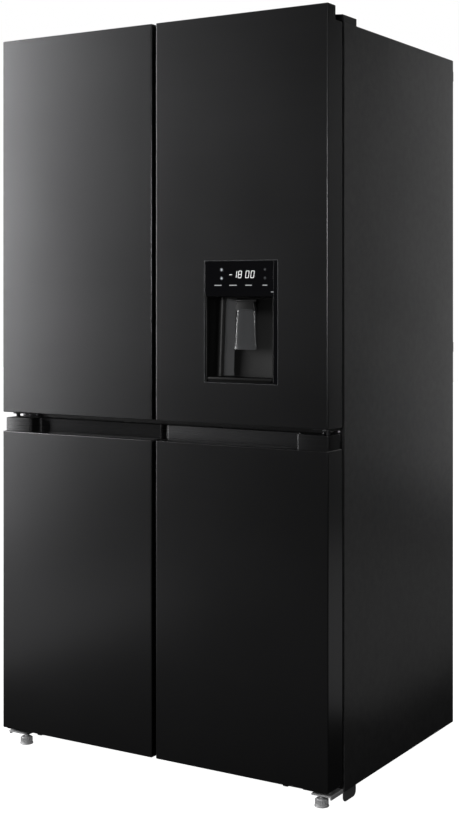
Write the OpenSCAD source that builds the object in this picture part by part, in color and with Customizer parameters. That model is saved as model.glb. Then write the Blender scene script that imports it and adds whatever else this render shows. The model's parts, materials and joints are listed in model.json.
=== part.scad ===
// French door refrigerator: two upper doors, two lower doors, water dispenser.
// Origin at the middle of the footprint on the floor; the doors face -Y.

/* [Overall] */
// Width over the doors and the cabinet
overall_w = 912; // [900:1:930]
// Height from the floor to the top of the upper doors
overall_h = 1750; // [1740:1:1770]
// Depth from the door fronts to the rear spacers
overall_d = 692; // [680:1:710]

/* [Doors] */
// Thickness of a door, front to back
door_t = 67; // [64:1:70]
// Gap between the left and right doors
door_gap = 11; // [9:1:13]
// Height of the lower doors' bottom edge above the floor
door_base_z = 46; // [44:1:50]
// Height of the upper doors' bottom edge above the floor
upper_door_z = 830; // [826:1:840]
// Open slot between the lower doors' tops and the upper doors' bottoms
door_slot = 14; // [12:1:16]
// Height of the open grip strip along the top of a lower door
grip_h = 33; // [30:1:34]
// Thickness of the sheet steel in the doors and the cabinet
sheet_t = 1; // [0.8:0.1:1.2]

/* [Hinges] */
// Distance from the outer side of a door to its hinge axis
hinge_inset = 18; // [17:1:20]
// Distance from the door front to the hinge axis
hinge_setback = 38; // [37:1:40]
// Radius of a hinge pin
pin_r = 5; // [4:0.5:6]
// Running clearance between a pin and its bore, on the radius
run_gap = 0.05; // [0.03:0.01:0.08]

/* [Cabinet] */
// Gap between the doors' backs and the cabinet, filled by the gasket
seal_gap = 11; // [10:1:13]
// Depth of the spacers that stand off the rear panel
spacer_d = 6; // [4:1:10]
// Height of the cabinet's underside above the floor
cabinet_base_z = 28; // [26:1:32]
// Height of the cabinet's top above the floor
cabinet_top_z = 1720; // [1715:1:1722]
// Thickness of the moulded liners
liner_t = 2; // [1.5:0.5:3]
// Thickness of the insulated side walls
wall_t = 53; // [50:1:60]

/* [Inside] */
// Height of the lower compartment's floor
freezer_z = 102; // [98:1:106]
// Height of the lower compartment's ceiling
freezer_top_z = 784; // [780:1:786]
// Height of the upper compartment's floor
fridge_z = 862; // [858:1:868]
// Height of the upper compartment's ceiling
fridge_top_z = 1668; // [1660:1:1672]
// Width of the upright divider between the lower compartments
divider_w = 50; // [46:1:56]

/* [Dispenser] */
// Distance from the middle of the width to the bezel's near side
bezel_x = 139; // [136:1:142]
// Width of the dispenser bezel
bezel_w = 193; // [190:1:196]
// Height of the bezel's bottom edge above the floor
bezel_z = 922; // [915:1:930]
// Height of the whole bezel
bezel_h = 276; // [270:1:280]
// Height of the glass control panel at the bezel's top
panel_h = 81; // [78:1:84]
// Depth of the recess at its top
recess_d = 60; // [56:1:60]

/* [Hidden] */
$fn = 32;
eps = 0.1;

side_x = overall_w / 2;
front_y = -overall_d / 2;
door_back_y = front_y + door_t;
cabinet_y = door_back_y + seal_gap;
rear_y = overall_d / 2 - spacer_d;
door_x = door_gap / 2;
lower_door_top = upper_door_z - door_slot;
lower_panel_top = lower_door_top - grip_h;
hinge_x = side_x - hinge_inset;
hinge_y = front_y + hinge_setback;
bore_r = pin_r + run_gap;
pin_reach = 12;
plate_t = 4;
hem_w = 22;
rail_d = 30;

// liners, measured on their inner faces
liner_x = side_x - wall_t;
liner_y = cabinet_y + 2;
back_wall_t = 78;
fridge_back_y = rear_y - back_wall_t;
freezer_back_y = rear_y - back_wall_t;
freezer_step_y = 118;
freezer_step_z = 302;
cover_y = 150;
machine_y = 170;
machine_z = 262;

// doors
cap_t = 14;
cap_sink = 6;
notch_z = cabinet_top_z - 1.5;
notch_x = hinge_x - 64;
swing_r = 12;
cover_h = 17;
cover_side = 60;
cover_out = 16;
cover_back = 103;
cover_wall = 3;
swing_clear = 36;
skin_r = 3;
bottom_cap = 12;
block_w = 84;
block_in = 9;
rail_in = 42;
grip_z = [lower_panel_top - eps, lower_door_top];
pad_t = 4;
plug_side_in = 73;
upper_free_in = 56;
lower_free_in = 32;
bin_inset = 14;
plug_t = 2;
upper_plug_d = 24;
lower_plug_d = 40;
seal_side_in = 20;
seal_w = 14;
bin_d = 112;
bin_wall = 2.5;
bin_h = 96;
bin_zs = [upper_door_z + 70, upper_door_z + 390, upper_door_z + 620];
tank_z = bin_zs[1] - 2;
tank_h = 190;

// shelves and drawers
shelf_t = 5;
shelf_y = -128;
shelf_zs = [1070, 1262, 1460];
drawer_gap = 17;
drawer_wall = 2.5;
drawer_y = cabinet_y + 43;
drawer_back_y = freezer_step_y - 8;
drawer_h = 320;
drawer_zs = [freezer_z + 14, freezer_z + 350];
crisper_h = 180;

// feet and rollers
foot_x = side_x - 39;
foot_y = front_y + 45;
foot_r = 16.5;
foot_h = 18;
stem_r = 5;
roller_r = 20;
roller_w = 22;
roller_x = side_x - 60;
roller_y = rear_y - 50;
axle_r = 4;

// bottom hinge bracket
bracket_z = door_base_z - 12;
bracket_x = side_x - 52;
bracket_side = 3;
bracket_up = 32;

// corner lugs under the cabinet
lug_z = 3;
lug_r = 12;

// fans
fan_r = 62;
fan_frame = 12;
hub_r = 18;
motor_r = 20;
cond_fan_at = [60, 250, 150];
evap_fan_at = [0, 172, 700];

// machine space
comp_at = [-270, 252];
comp_r = 72;
comp_h = 120;
comp_foot_h = 14;
rod_x = [150, 410];
rod_y = 250;
gland_at = [330, 210];
gland_r = 4.5;

// back and top of the evaporator
coil_x = 250;
tube_r = 4;

// axis-aligned block between two corners
module slab(x, y, z) translate([x[0], y[0], z[0]]) cube([x[1] - x[0], y[1] - y[0], z[1] - z[0]]);

// the children and their mirror image on the left
module both_sides() { children(); mirror([1, 0, 0]) children(); }

module left_side() mirror([1, 0, 0]) children();

// upright block whose two front corners are rounded
module front_rounded(x, y, r) {
  translate([x[0] + r, y[0] + r]) circle(r);
  translate([x[1] - r, y[0] + r]) circle(r);
  translate([x[0] + r, y[0]]) square([x[1] - x[0] - 2 * r, r + eps]);
  translate([x[0], y[0] + r]) square([x[1] - x[0], y[1] - y[0] - r]);
}

// ring between an outer and an inner rectangle, standing in the XZ plane
module upright_ring(x, y, z, w) difference() {
  slab(x, y, z);
  slab([x[0] + w, x[1] - w], [y[0] - 1, y[1] + 1], [z[0] + w, z[1] - w]);
}

// open-topped box with a wall and a floor of one thickness
module tray(x, y, z, w) difference() {
  slab(x, y, z);
  slab([x[0] + w, x[1] - w], [y[0] + w, y[1] - w], [z[0] + w, z[1] + 1]);
}

// ---- cabinet ----

// steel wrap with its front edge folded in
module cabinet_shell() color("#2b2b2d") {
  difference() {
    slab([-side_x, side_x], [cabinet_y, rear_y], [cabinet_base_z, cabinet_top_z]);
    slab([-side_x + sheet_t, side_x - sheet_t], [cabinet_y - 1, rear_y + 1],
      [cabinet_base_z - 1, cabinet_top_z - sheet_t]);
  }
  upright_ring([-side_x, side_x], [cabinet_y, liner_y], [cabinet_base_z, cabinet_top_z], hem_w);
}

module back_panel() color("#8c8e90") slab([-side_x + sheet_t, side_x - sheet_t],
  [rear_y - sheet_t, rear_y], [machine_z, cabinet_top_z - sheet_t]);

// floor of the machine space, open over the rollers, with a corner lug down each front side
module base_tray() color("#a8abad") {
  difference() {
    slab([-side_x + sheet_t, side_x - sheet_t], [cabinet_y + 2, rear_y - 3],
      [cabinet_base_z, cabinet_base_z + 2]);
    both_sides() slab([roller_x - 12.4, roller_x + 12.4], [roller_y - 22, roller_y + 22], [0, cabinet_top_z]);
  }
  both_sides() translate([side_x - 6, 0, 0]) rotate([90, 0, 90]) linear_extrude(3) {
    for (y = [cabinet_y + 14, cabinet_y + 50]) translate([y, lug_z + lug_r]) circle(lug_r);
    translate([cabinet_y + 14, lug_z]) square([36, lug_r]);
    translate([cabinet_y + 2, lug_z + lug_r]) square([60, cabinet_base_z - lug_z - lug_r]);
  }
}

// side outline of the lower cavity: deep above the machine space, shallow beside it
module freezer_profile(grow) polygon([
  [liner_y - eps, freezer_z - grow], [freezer_step_y + grow, freezer_z - grow],
  [freezer_step_y + grow, freezer_step_z - grow], [freezer_back_y + grow, freezer_step_z - grow],
  [freezer_back_y + grow, freezer_top_z + grow], [liner_y - eps, freezer_top_z + grow]]);

module freezer_cavity(grow) rotate([90, 0, 90]) translate([0, 0, -liner_x - grow])
  linear_extrude(2 * (liner_x + grow)) freezer_profile(grow);

module fridge_cavity(grow) slab([-liner_x - grow, liner_x + grow], [liner_y - eps, fridge_back_y + grow],
  [fridge_z - grow, fridge_top_z + grow]);

module cabinet_foam() color("#e8d9a8") difference() {
  slab([-side_x + sheet_t, side_x - sheet_t], [liner_y, rear_y - sheet_t],
    [cabinet_base_z + 2, cabinet_top_z - sheet_t]);
  fridge_cavity(liner_t);
  freezer_cavity(liner_t);
  slab([-side_x, side_x], [machine_y, rear_y], [0, machine_z]);
  slab([-side_x, side_x], [cabinet_y, liner_y + rail_d], [freezer_top_z + 10, fridge_z - 10]);
}

// front flange that closes the foam between a cavity and the wrap's folded edge
module front_flange(z) slab([-side_x + hem_w, side_x - hem_w], [cabinet_y, liner_y], z);

module fridge_liner() color("#f2f3f3") difference() {
  union() {
    front_flange([fridge_z - 10, cabinet_top_z - hem_w]);
    slab([-liner_x - liner_t, liner_x + liner_t], [liner_y - eps, fridge_back_y + liner_t],
      [fridge_z - liner_t, fridge_top_z + liner_t]);
  }
  slab([-liner_x, liner_x], [cabinet_y - 1, fridge_back_y], [fridge_z, fridge_top_z]);
}

module freezer_liner() color("#f2f3f3") difference() {
  union() {
    front_flange([cabinet_base_z + hem_w, freezer_top_z + 10]);
    freezer_cavity(liner_t);
  }
  freezer_cavity(0);
  slab([-liner_x, liner_x], [cabinet_y - 1, liner_y], [freezer_z, freezer_top_z]);
}

module freezer_divider() color("#f2f3f3") {
  slab([-divider_w / 2, divider_w / 2], [cabinet_y, freezer_step_y], [freezer_z, freezer_top_z]);
  slab([-divider_w / 2, divider_w / 2], [cabinet_y, cover_y], [freezer_step_z, freezer_top_z]);
}

// dark rail that closes the foam behind the slot between the doors
module cross_rail() color("#1c1c1e") {
  z = [freezer_top_z + 10, fridge_z - 10];
  slab([-side_x + hem_w, side_x - hem_w], [cabinet_y, liner_y + eps], z);
  slab([-side_x + sheet_t, side_x - sheet_t], [liner_y, liner_y + rail_d], z);
}

// ---- hinges ----

module pin_up(z, l) translate([hinge_x, hinge_y, z]) cylinder(h = l, r = pin_r);

// plate reaching from the cabinet to the hinge axis, rounded around it
module hinge_plate(z, y1) {
  translate([hinge_x, hinge_y, z]) cylinder(h = plate_t, r = 12);
  slab([hinge_x - 40, hinge_x + 12], [hinge_y, y1], [z, z + plate_t]);
}

// outline of an arm that reaches the hinge axis from the inner side, so that the door clears it
module swing_arm(side, back, out, r) {
  circle(r);
  polygon([[-side, -1], [-side, back], [out, back], [out, swing_clear], [3, 30], [-10, 21],
    [-9, 10], [0, -1]]);
}

module top_hinges() color("#3a3b3d") both_sides() {
  translate([hinge_x, hinge_y, cabinet_top_z]) linear_extrude(plate_t)
    swing_arm(44, 88, swing_r - 4, swing_r - 4);
  pin_up(cabinet_top_z - pin_reach, pin_reach + plate_t);
}

// plate in the slot with one pin up into the upper door and one down into the lower door
module middle_hinges() color("#3a3b3d") both_sides() {
  hinge_plate(upper_door_z - plate_t - 2, cabinet_y - 0.5);
  slab([hinge_x - 40, hinge_x + 12], [cabinet_y - 4.5, cabinet_y], [lower_door_top - 18, upper_door_z - 1]);
  pin_up(lower_door_top - pin_reach + 1, 2 * pin_reach + door_slot - 2);
}

module bottom_hinges() color("#c9ccce") both_sides() difference() {
  x = [bracket_x, side_x - bracket_side];
  union() {
    slab(x, [front_y + 20, cabinet_y], [bracket_z - plate_t, bracket_z]);
    slab([x[1] - plate_t, x[1]], [front_y + 22, cabinet_y], [bracket_z - 9, bracket_z]);
    slab([x[0], x[1] - 14], [cabinet_y - plate_t, cabinet_y], [bracket_z - plate_t, bracket_z + bracket_up]);
    pin_up(bracket_z - plate_t, pin_reach + 14);
  }
  translate([foot_x, foot_y, 0]) cylinder(h = 100, r = stem_r + run_gap);
}

// hollow lid over a top hinge
module hinge_covers() color("#1c1c1e") both_sides() translate([hinge_x, hinge_y, cabinet_top_z]) {
  roof_z = cover_h - cover_wall;
  x = [-cover_side, cover_out];
  translate([0, 0, roof_z]) linear_extrude(cover_wall) swing_arm(cover_side, cover_back, cover_out, swing_r);
  slab(x, [cover_back - cover_wall, cover_back], [0, roof_z + eps]);
  slab(x, [swing_clear + 4, swing_clear + 4 + cover_wall], [plate_t + 0.2, roof_z + eps]);
  slab([x[0], x[0] + cover_wall], [swing_clear + 4, cover_back], [0, roof_z + eps]);
  slab([x[1] - cover_wall, x[1]], [swing_clear + 4, cover_back], [0, roof_z + eps]);
}

// pan head of a screw that faces the front
module front_screw(x, y, z) translate([x, y, z]) rotate([90, 0, 0]) cylinder(h = 3, r = 3.2);

module hinge_screws() color("#b9bbbd") both_sides() {
  for (dx = [-34, -12]) translate([hinge_x + dx, hinge_y + 64, cabinet_top_z + plate_t])
    cylinder(h = 3, r = 5);
  for (dx = [-31, -10, 7]) front_screw(hinge_x + dx, cabinet_y - 4.5, lower_door_top + 4);
  front_screw(hinge_x - 28, cabinet_y - 4, bracket_z + 22);
}

module rear_spacers() color("#1c1c1e") both_sides()
  for (z = [cabinet_top_z - 27, cabinet_top_z - 720])
    slab([side_x - 60, side_x - 1.2], [rear_y, overall_d / 2], [z - 26, z]);

// ---- inside the cabinet ----

module glass_shelves() color("#cfe0e4", 0.5) for (z = shelf_zs)
  slab([-liner_x + 1, liner_x - 1], [shelf_y, fridge_back_y - 22], [z, z + shelf_t]);

module air_duct() color("#e6e8e8") slab([-90, 90], [fridge_back_y - 18, fridge_back_y],
  [fridge_z + 60, fridge_top_z - 30]);

module evaporator_coil() color("#b7babc") {
  for (z = [freezer_step_z + 30 : 34 : freezer_step_z + 270])
    translate([-coil_x, (cover_y + freezer_back_y) / 2 + 10, z]) rotate([0, 90, 0])
      cylinder(h = 2 * coil_x, r = tube_r);
  for (x = [10 - coil_x, coil_x - 10]) slab([x - 1, x + 1], [cover_y + 34, freezer_back_y - 24],
    [freezer_step_z + 16, freezer_step_z + 290]);
}

module evaporator_cover() color("#e6e8e8") difference() {
  slab([-liner_x + 1, liner_x - 1], [cover_y, cover_y + 3], [freezer_step_z, freezer_top_z]);
  for (s = [-1, 1]) for (i = [0 : 5]) slab([s * 200 - 90, s * 200 + 90], [cover_y - 1, cover_y + 4],
    [freezer_top_z - 60 - i * 16, freezer_top_z - 54 - i * 16]);
}

module compressor() color("#1c1c1e") translate([comp_at[0], comp_at[1], cabinet_base_z + 2]) {
  translate([0, 0, comp_foot_h]) cylinder(h = comp_h, r = comp_r);
  translate([0, 0, comp_foot_h + comp_h]) scale([1, 1, 0.45]) intersection() {
    sphere(comp_r);
    translate([0, 0, comp_r]) cube([3 * comp_r, 3 * comp_r, 2 * comp_r], center = true);
  }
  for (a = [45 : 90 : 315]) rotate(a) translate([comp_r + 6, 0, 0]) cylinder(h = comp_foot_h + 2, r = 12);
}

module condenser_coil() color("#6a4a38") {
  for (x = [rod_x[0] : 26 : rod_x[1]]) translate([x, rod_y, cabinet_base_z + 30]) cylinder(h = 170, r = 3);
  for (z = [cabinet_base_z + 34, cabinet_base_z + 196])
    slab([rod_x[0] - 3, rod_x[1] + 3], [rod_y - 4, rod_y + 4], [z - 3, z + 3]);
}

module drain_pan() color("#f2f3f3") tray([-170, -10], [190, 320],
  [cabinet_base_z + 8, cabinet_base_z + 40], 2);

module machine_cover() color("#5a5c5e") difference() {
  union() {
    slab([-side_x + sheet_t, side_x - sheet_t], [rear_y - 3, rear_y], [cabinet_base_z, machine_z]);
    translate([gland_at[0], rear_y - 3, gland_at[1]]) rotate([90, 0, 0]) cylinder(h = 9, r = 2 * gland_r);
  }
  translate([gland_at[0], rear_y + 1, gland_at[1]]) rotate([90, 0, 0]) cylinder(h = 20, r = gland_r);
  for (x = [-380 : 60 : 280]) for (z = [90, 120]) slab([x, x + 40], [rear_y - 4, rear_y + 1], [z, z + 10]);
}

// square frame with a motor boss in the middle and a shaft that carries the rotor
module fan_mount(at) translate(at) rotate([-90, 0, 0]) {
  half = fan_r + fan_frame;
  difference() {
    slab([-half, half], [-half, half], [-14, 14]);
    translate([0, 0, -15]) cylinder(h = 30, r = fan_r + 4);
  }
  translate([0, 0, 16]) cylinder(h = 16, r = motor_r);
  for (a = [0, 90]) rotate(a) translate([-fan_r - 8, -4, 16]) cube([2 * fan_r + 16, 8, 4]);
  translate([0, 0, -8]) cylinder(h = 28, r = axle_r);
  for (x = [-fan_r - 8, fan_r + 4]) translate([x, -4, 13]) cube([4, 8, 6]);
}

module fan_mounts() color("#1c1c1e") { fan_mount(cond_fan_at); fan_mount(evap_fan_at); }

module fan_rotor(at) translate(at) rotate([-90, 0, 0]) difference() {
  union() {
    translate([0, 0, -12]) cylinder(h = 24, r = hub_r);
    for (a = [0 : 60 : 300]) rotate(a) translate([hub_r - 3, -16, -3]) rotate([25, 0, 0])
      cube([fan_r - hub_r + 1, 30, 2]);
  }
  translate([0, 0, -13]) cylinder(h = 26, r = axle_r + run_gap);
}

module condenser_fan() color("#1c1c1e") fan_rotor(cond_fan_at);
module evaporator_fan() color("#e6e8e8") fan_rotor(evap_fan_at);

// ---- feet and rollers ----

module roller_brackets() color("#a8abad") both_sides() {
  for (s = [-1, 1]) slab([roller_x + s * 14 - 1.5, roller_x + s * 14 + 1.5],
    [roller_y - 24, roller_y + 24], [12, cabinet_base_z]);
  translate([roller_x - 18, roller_y, roller_r]) rotate([0, 90, 0]) cylinder(h = 36, r = axle_r);
}

module roller() translate([roller_x - roller_w / 2, roller_y, roller_r]) rotate([0, 90, 0]) difference() {
  cylinder(h = roller_w, r = roller_r);
  translate([0, 0, -1]) cylinder(h = roller_w + 2, r = axle_r + run_gap);
}

module right_roller() color("#2b2b2d") roller();
module left_roller() color("#2b2b2d") left_side() roller();

module foot() translate([foot_x, foot_y, 0]) {
  cylinder(h = 4, r = foot_r);
  translate([0, 0, 3]) cylinder(h = foot_h - 3, r = foot_r - 1.5, $fn = 8);
  translate([0, 0, foot_h - 1]) cylinder(h = bracket_z + 4 - foot_h, r = stem_r);
}

module right_foot() color("#c9ccce") foot();
module left_foot() color("#c9ccce") left_side() foot();

// ---- drawers ----

// open-topped drawer with a taller front, modelled for the right side
module drawer(z) {
  x0 = divider_w / 2 + 7;
  x1 = liner_x - drawer_gap;
  tray([x0 + 6, x1 - 6], [drawer_y + 6, drawer_back_y], [z, z + drawer_h - 60], drawer_wall);
  slab([x0, x1], [drawer_y, drawer_y + 6 + eps], [z - 6, z + drawer_h - 8]);
}

module crisper() {
  x0 = 6;
  x1 = liner_x - drawer_gap;
  tray([x0 + 6, x1 - 6], [shelf_y + 6, fridge_back_y - 90],
    [fridge_z + 4, fridge_z + crisper_h - 20], drawer_wall);
  slab([x0, x1], [shelf_y, shelf_y + 6 + eps], [fridge_z + 2, fridge_z + crisper_h]);
}

module right_top_drawer() color("#dfe8ea", 0.8) drawer(drawer_zs[1]);
module right_bottom_drawer() color("#dfe8ea", 0.8) drawer(drawer_zs[0]);
module left_top_drawer() color("#dfe8ea", 0.8) left_side() drawer(drawer_zs[1]);
module left_bottom_drawer() color("#dfe8ea", 0.8) left_side() drawer(drawer_zs[0]);
module right_crisper() color("#dfe8ea", 0.8) crisper();
module left_crisper() color("#dfe8ea", 0.8) left_side() crisper();

// ---- doors, modelled for the right side ----

// folded steel sheet: the door's front with both sides turned back
module skin(z) difference() {
  translate([0, 0, z[0]]) linear_extrude(z[1] - z[0])
    front_rounded([door_x, side_x], [front_y, door_back_y], skin_r);
  translate([0, 0, z[0] - 1]) linear_extrude(z[1] - z[0] + 2)
    front_rounded([door_x + sheet_t, side_x - sheet_t], [front_y + sheet_t, door_back_y + 5],
      skin_r - sheet_t);
}

// room in a door's top for the hinge arm and its cover, open at the back and at the side
module hinge_notch() {
  slab([notch_x, side_x + 1], [front_y + 35, door_back_y + 1], [notch_z, overall_h + 1]);
  translate([hinge_x, hinge_y, notch_z]) cylinder(h = overall_h, r = swing_r + 1.5);
}

module upper_skin() difference() { skin([upper_door_z, overall_h]); hinge_notch(); }
module lower_skin() skin([door_base_z, lower_panel_top]);

module hinge_bore(z) translate([hinge_x, hinge_y, z[0]]) cylinder(h = z[1] - z[0], r = bore_r);

// block that fills the skin's outline over a height
module cap_block(z) translate([0, 0, z[0]]) linear_extrude(z[1] - z[0])
  front_rounded([door_x + sheet_t, side_x - sheet_t], [front_y + sheet_t, door_back_y - 2.2],
    skin_r - sheet_t);

module upper_caps() {
  difference() {
    cap_block([notch_z - cap_t, overall_h - cap_sink]);
    slab([door_x + 8, notch_x - 6], [front_y + 6, door_back_y - 6],
      [notch_z - cap_t - 1, overall_h - cap_sink - 5]);
    hinge_notch();
    hinge_bore([notch_z - cap_t - 1, notch_z + 1]);
  }
  difference() {
    cap_block([upper_door_z, upper_door_z + bottom_cap]);
    slab([0, side_x - 90], [front_y + 12, front_y + 40], [upper_door_z - 1, upper_door_z + 8]);
    hinge_bore([upper_door_z - 1, upper_door_z + bottom_cap + 1]);
  }
}

// lower door: the top cap is the grip, a trough behind the panel's lip, with an end block at the hinge
module grip_cap() difference() {
  union() {
    cap_block([lower_panel_top - 26, lower_panel_top]);
    slab([door_x + sheet_t, side_x - block_w], [front_y + rail_in, door_back_y - 2.2], grip_z);
    slab([side_x - block_w, side_x - 3], [front_y + block_in, door_back_y - 2.2], grip_z);
  }
  slab([door_x + 8, side_x - block_w - 28], [front_y + 13, front_y + rail_in - 4],
    [lower_panel_top - 22, lower_panel_top + 1]);
  hinge_bore([lower_door_top - pin_reach - 4, lower_door_top + 1]);
}

// bottom cap, with a bearing pad under the hinge corner and a small stop beside it
module bottom_door_cap() difference() {
  union() {
    cap_block([door_base_z, door_base_z + bottom_cap]);
    slab([side_x - 66, side_x - 8], [front_y + 8, door_back_y - 8], [door_base_z - pad_t, door_base_z + eps]);
    slab([side_x - 116, side_x - 104], [front_y + 8, front_y + 30],
      [door_base_z - pad_t - 1, door_base_z + eps]);
  }
  hinge_bore([door_base_z - pad_t - 1, door_base_z + bottom_cap + 1]);
}

module lower_caps() { grip_cap(); bottom_door_cap(); }

// moulded inner panel with a raised plug that enters the compartment
module door_liner(z, free_in, plug_z, plug_d) {
  x = [door_x + free_in, side_x - plug_side_in];
  difference() {
    union() {
      slab([door_x + sheet_t + 0.2, side_x - sheet_t - 0.2], [door_back_y - 2, door_back_y], z);
      slab(x, [door_back_y - 1, door_back_y + plug_d], plug_z);
    }
    slab([x[0] + plug_t, x[1] - plug_t], [door_back_y - 3, door_back_y + plug_d - plug_t],
      [plug_z[0] + plug_t, plug_z[1] - plug_t]);
  }
}

upper_plug_z = [fridge_z + 12, fridge_top_z - 12];
lower_plug_z = [freezer_z + 12, freezer_top_z - 12];

module upper_liner() door_liner([upper_door_z + 1, notch_z - 1], upper_free_in,
  upper_plug_z, upper_plug_d);
module lower_liner() {
  door_liner([door_base_z + 1, lower_panel_top - 1], lower_free_in, lower_plug_z, lower_plug_d);
  slab([door_x + sheet_t + 0.2, side_x - seal_side_in], [door_back_y - 2, door_back_y],
    [lower_panel_top - 2, lower_door_top - 4]);
}

// magnetic seal: a ring on the door's back, short of the cabinet by a hair
module gasket(z) upright_ring([door_x + 2, side_x - seal_side_in], [door_back_y, cabinet_y - 0.5], z, seal_w);
module upper_gasket() gasket([fridge_z - 12 - seal_w + 10, fridge_top_z + 22]);
module lower_gasket() gasket([freezer_z - 24, freezer_top_z + 12]);

bin_x = [door_x + upper_free_in + bin_inset, side_x - plug_side_in - bin_inset];
bin_y = door_back_y + upper_plug_d;

module door_bin(z) tray(bin_x, [bin_y, bin_y + bin_d], [z, z + bin_h], bin_wall);

// ---- dispenser, in the upper right door ----

bezel_x1 = bezel_x + bezel_w;
panel_z = bezel_z + bezel_h - panel_h;
recess_floor_z = bezel_z + 2;
recess_lean = 12;
recess_x = [bezel_x + 6, bezel_x1 - 14];
recess_y = front_y + recess_d;
paddle_x = [202, 256];
paddle_pivot = [front_y + 32, panel_z - 10];

// rounded rectangle in the XZ plane, extruded back from the door's front
module front_plate(x, z, y, r) translate([0, y[1], 0]) rotate([90, 0, 0]) linear_extrude(y[1] - y[0]) {
  for (px = [x[0] + r, x[1] - r]) for (pz = [z[0] + r, z[1] - r]) translate([px, pz]) circle(r);
  translate([x[0] + r, z[0]]) square([x[1] - x[0] - 2 * r, z[1] - z[0]]);
  translate([x[0], z[0] + r]) square([x[1] - x[0], z[1] - z[0] - 2 * r]);
}

module bezel_cut()
  front_plate([bezel_x, bezel_x1], [bezel_z, bezel_z + bezel_h], [front_y - 1, front_y + 3], 2);

// side outline of the recess: the back wall leans forward towards the tray
module recess_profile(grow) polygon([
  [front_y - 1, recess_floor_z - grow], [recess_y - recess_lean + grow, recess_floor_z - grow],
  [recess_y + grow, panel_z + grow], [front_y - 1, panel_z + grow]]);

module recess(x, grow) translate([x[0] - grow, 0, 0]) rotate([90, 0, 90])
  linear_extrude(x[1] - x[0] + 2 * grow) recess_profile(grow);

module dispenser_housing() color("#2a2b2d") difference() {
  union() {
    front_plate([bezel_x + 0.2, bezel_x1 - 0.2], [bezel_z + 0.2, bezel_z + bezel_h - 0.2],
      [front_y, front_y + 4], 2);
    intersection() {
      recess(recess_x, 2);
      slab([0, side_x], [front_y + 1, door_back_y - 3], [bezel_z + 1, bezel_z + bezel_h]);
    }
    slab([bezel_x + 4, bezel_x1 - 4], [front_y + 1, front_y + 9], [panel_z, bezel_z + bezel_h - 3]);
  }
  recess(recess_x, 0);
  slab([bezel_x + 2, bezel_x1 - 2], [front_y - 1, front_y + 2.5], [panel_z, bezel_z + bezel_h - 2]);
  slab([paddle_x[0] - 18, paddle_x[1] + 6], [front_y + 4, recess_y - 20], [panel_z - 1, panel_z + 12]);
}

module control_panel() color("#0c0c0d")
  slab([bezel_x + 2.2, bezel_x1 - 2.2], [front_y + 0.3, front_y + 2.5],
    [panel_z + 0.2, bezel_z + bezel_h - 2.2]);

// clear lever that hangs in the recess on a cross pin
module dispenser_paddle() color("#7d8286", 0.7) {
  slab([paddle_x[0], paddle_x[1]], [front_y + 28, front_y + 31], [bezel_z + 75, panel_z - 6]);
  translate([paddle_x[0] - 2, paddle_pivot[0], paddle_pivot[1]]) rotate([0, 90, 0]) cylinder(h = 58, r = 3);
}

module drip_tray() color("#141415")
  tray([recess_x[0] + 1, recess_x[1] - 1], [front_y + 1, recess_y - recess_lean - 1],
    [recess_floor_z + 0.3, recess_floor_z + 11], 2);

module water_tank() color("#dfe8ea", 0.8)
  tray(bin_x, [bin_y, bin_y + bin_d - 8], [tank_z, tank_z + tank_h], bin_wall);

// ---- folding centre mullion, on the upper left door ----

mullion_at = [-door_x - 26, door_back_y + 18];
mullion_w = 74;
mullion_t = 16;
knuckle_zs = [fridge_z + 80, (fridge_z + fridge_top_z) / 2, fridge_top_z - 110];
knuckle_h = 30;
lug_h = 8;
mullion_pin_r = 2.5;

// sealing bar hung on the left door's free edge, parked square to the door
module flip_mullion() color("#d9dadb") translate([mullion_at[0], mullion_at[1], 0]) difference() {
  union() {
    slab([-mullion_t, 0], [-6, mullion_w - 6], [fridge_z + 18, fridge_top_z - 18]);
    for (z = knuckle_zs) translate([0, 0, z]) cylinder(h = knuckle_h, r = 6);
  }
  for (z = knuckle_zs) {
    translate([0, 0, z - lug_h - 1]) cylinder(h = lug_h + 1, r = 10);
    translate([0, 0, z - 1]) cylinder(h = knuckle_h + 2, r = mullion_pin_r + run_gap);
  }
}

// lugs on the door's liner, each with a pin that carries a knuckle of the mullion
module mullion_lugs() for (z = knuckle_zs) translate([mullion_at[0], mullion_at[1], z - lug_h - 0.5]) {
  slab([-6, 6], [-18.1, 6], [0, lug_h]);
  translate([0, 0, lug_h - eps]) cylinder(h = knuckle_h - 4, r = mullion_pin_r);
}

// ---- the four doors' pieces ----

steel = "#2f2f31";
trim = "#1c1c1e";
white = "#f2f3f3";
seal = "#4a4b4d";

module upper_right_skin() color(steel) difference() { upper_skin(); bezel_cut(); }
module upper_left_skin() color(steel) left_side() upper_skin();
module lower_right_skin() color(steel) lower_skin();
module lower_left_skin() color(steel) left_side() lower_skin();
module upper_right_caps() color(trim) upper_caps();
module upper_left_caps() color(trim) left_side() upper_caps();
module lower_right_caps() color(trim) lower_caps();
module lower_left_caps() color(trim) left_side() lower_caps();
module upper_right_liner() color(white) upper_liner();
module upper_left_liner() color(white) { left_side() upper_liner(); mullion_lugs(); }
module lower_right_liner() color(white) lower_liner();
module lower_left_liner() color(white) left_side() lower_liner();
module upper_right_gasket() color(seal) upper_gasket();
module upper_left_gasket() color(seal) left_side() upper_gasket();
module lower_right_gasket() color(seal) lower_gasket();
module lower_left_gasket() color(seal) left_side() lower_gasket();
module upper_left_bins() color("#dfe8ea", 0.8) left_side() for (z = bin_zs) door_bin(z);
module upper_right_bins() color("#dfe8ea", 0.8) for (z = [bin_zs[0], bin_zs[2]]) door_bin(z);

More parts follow.
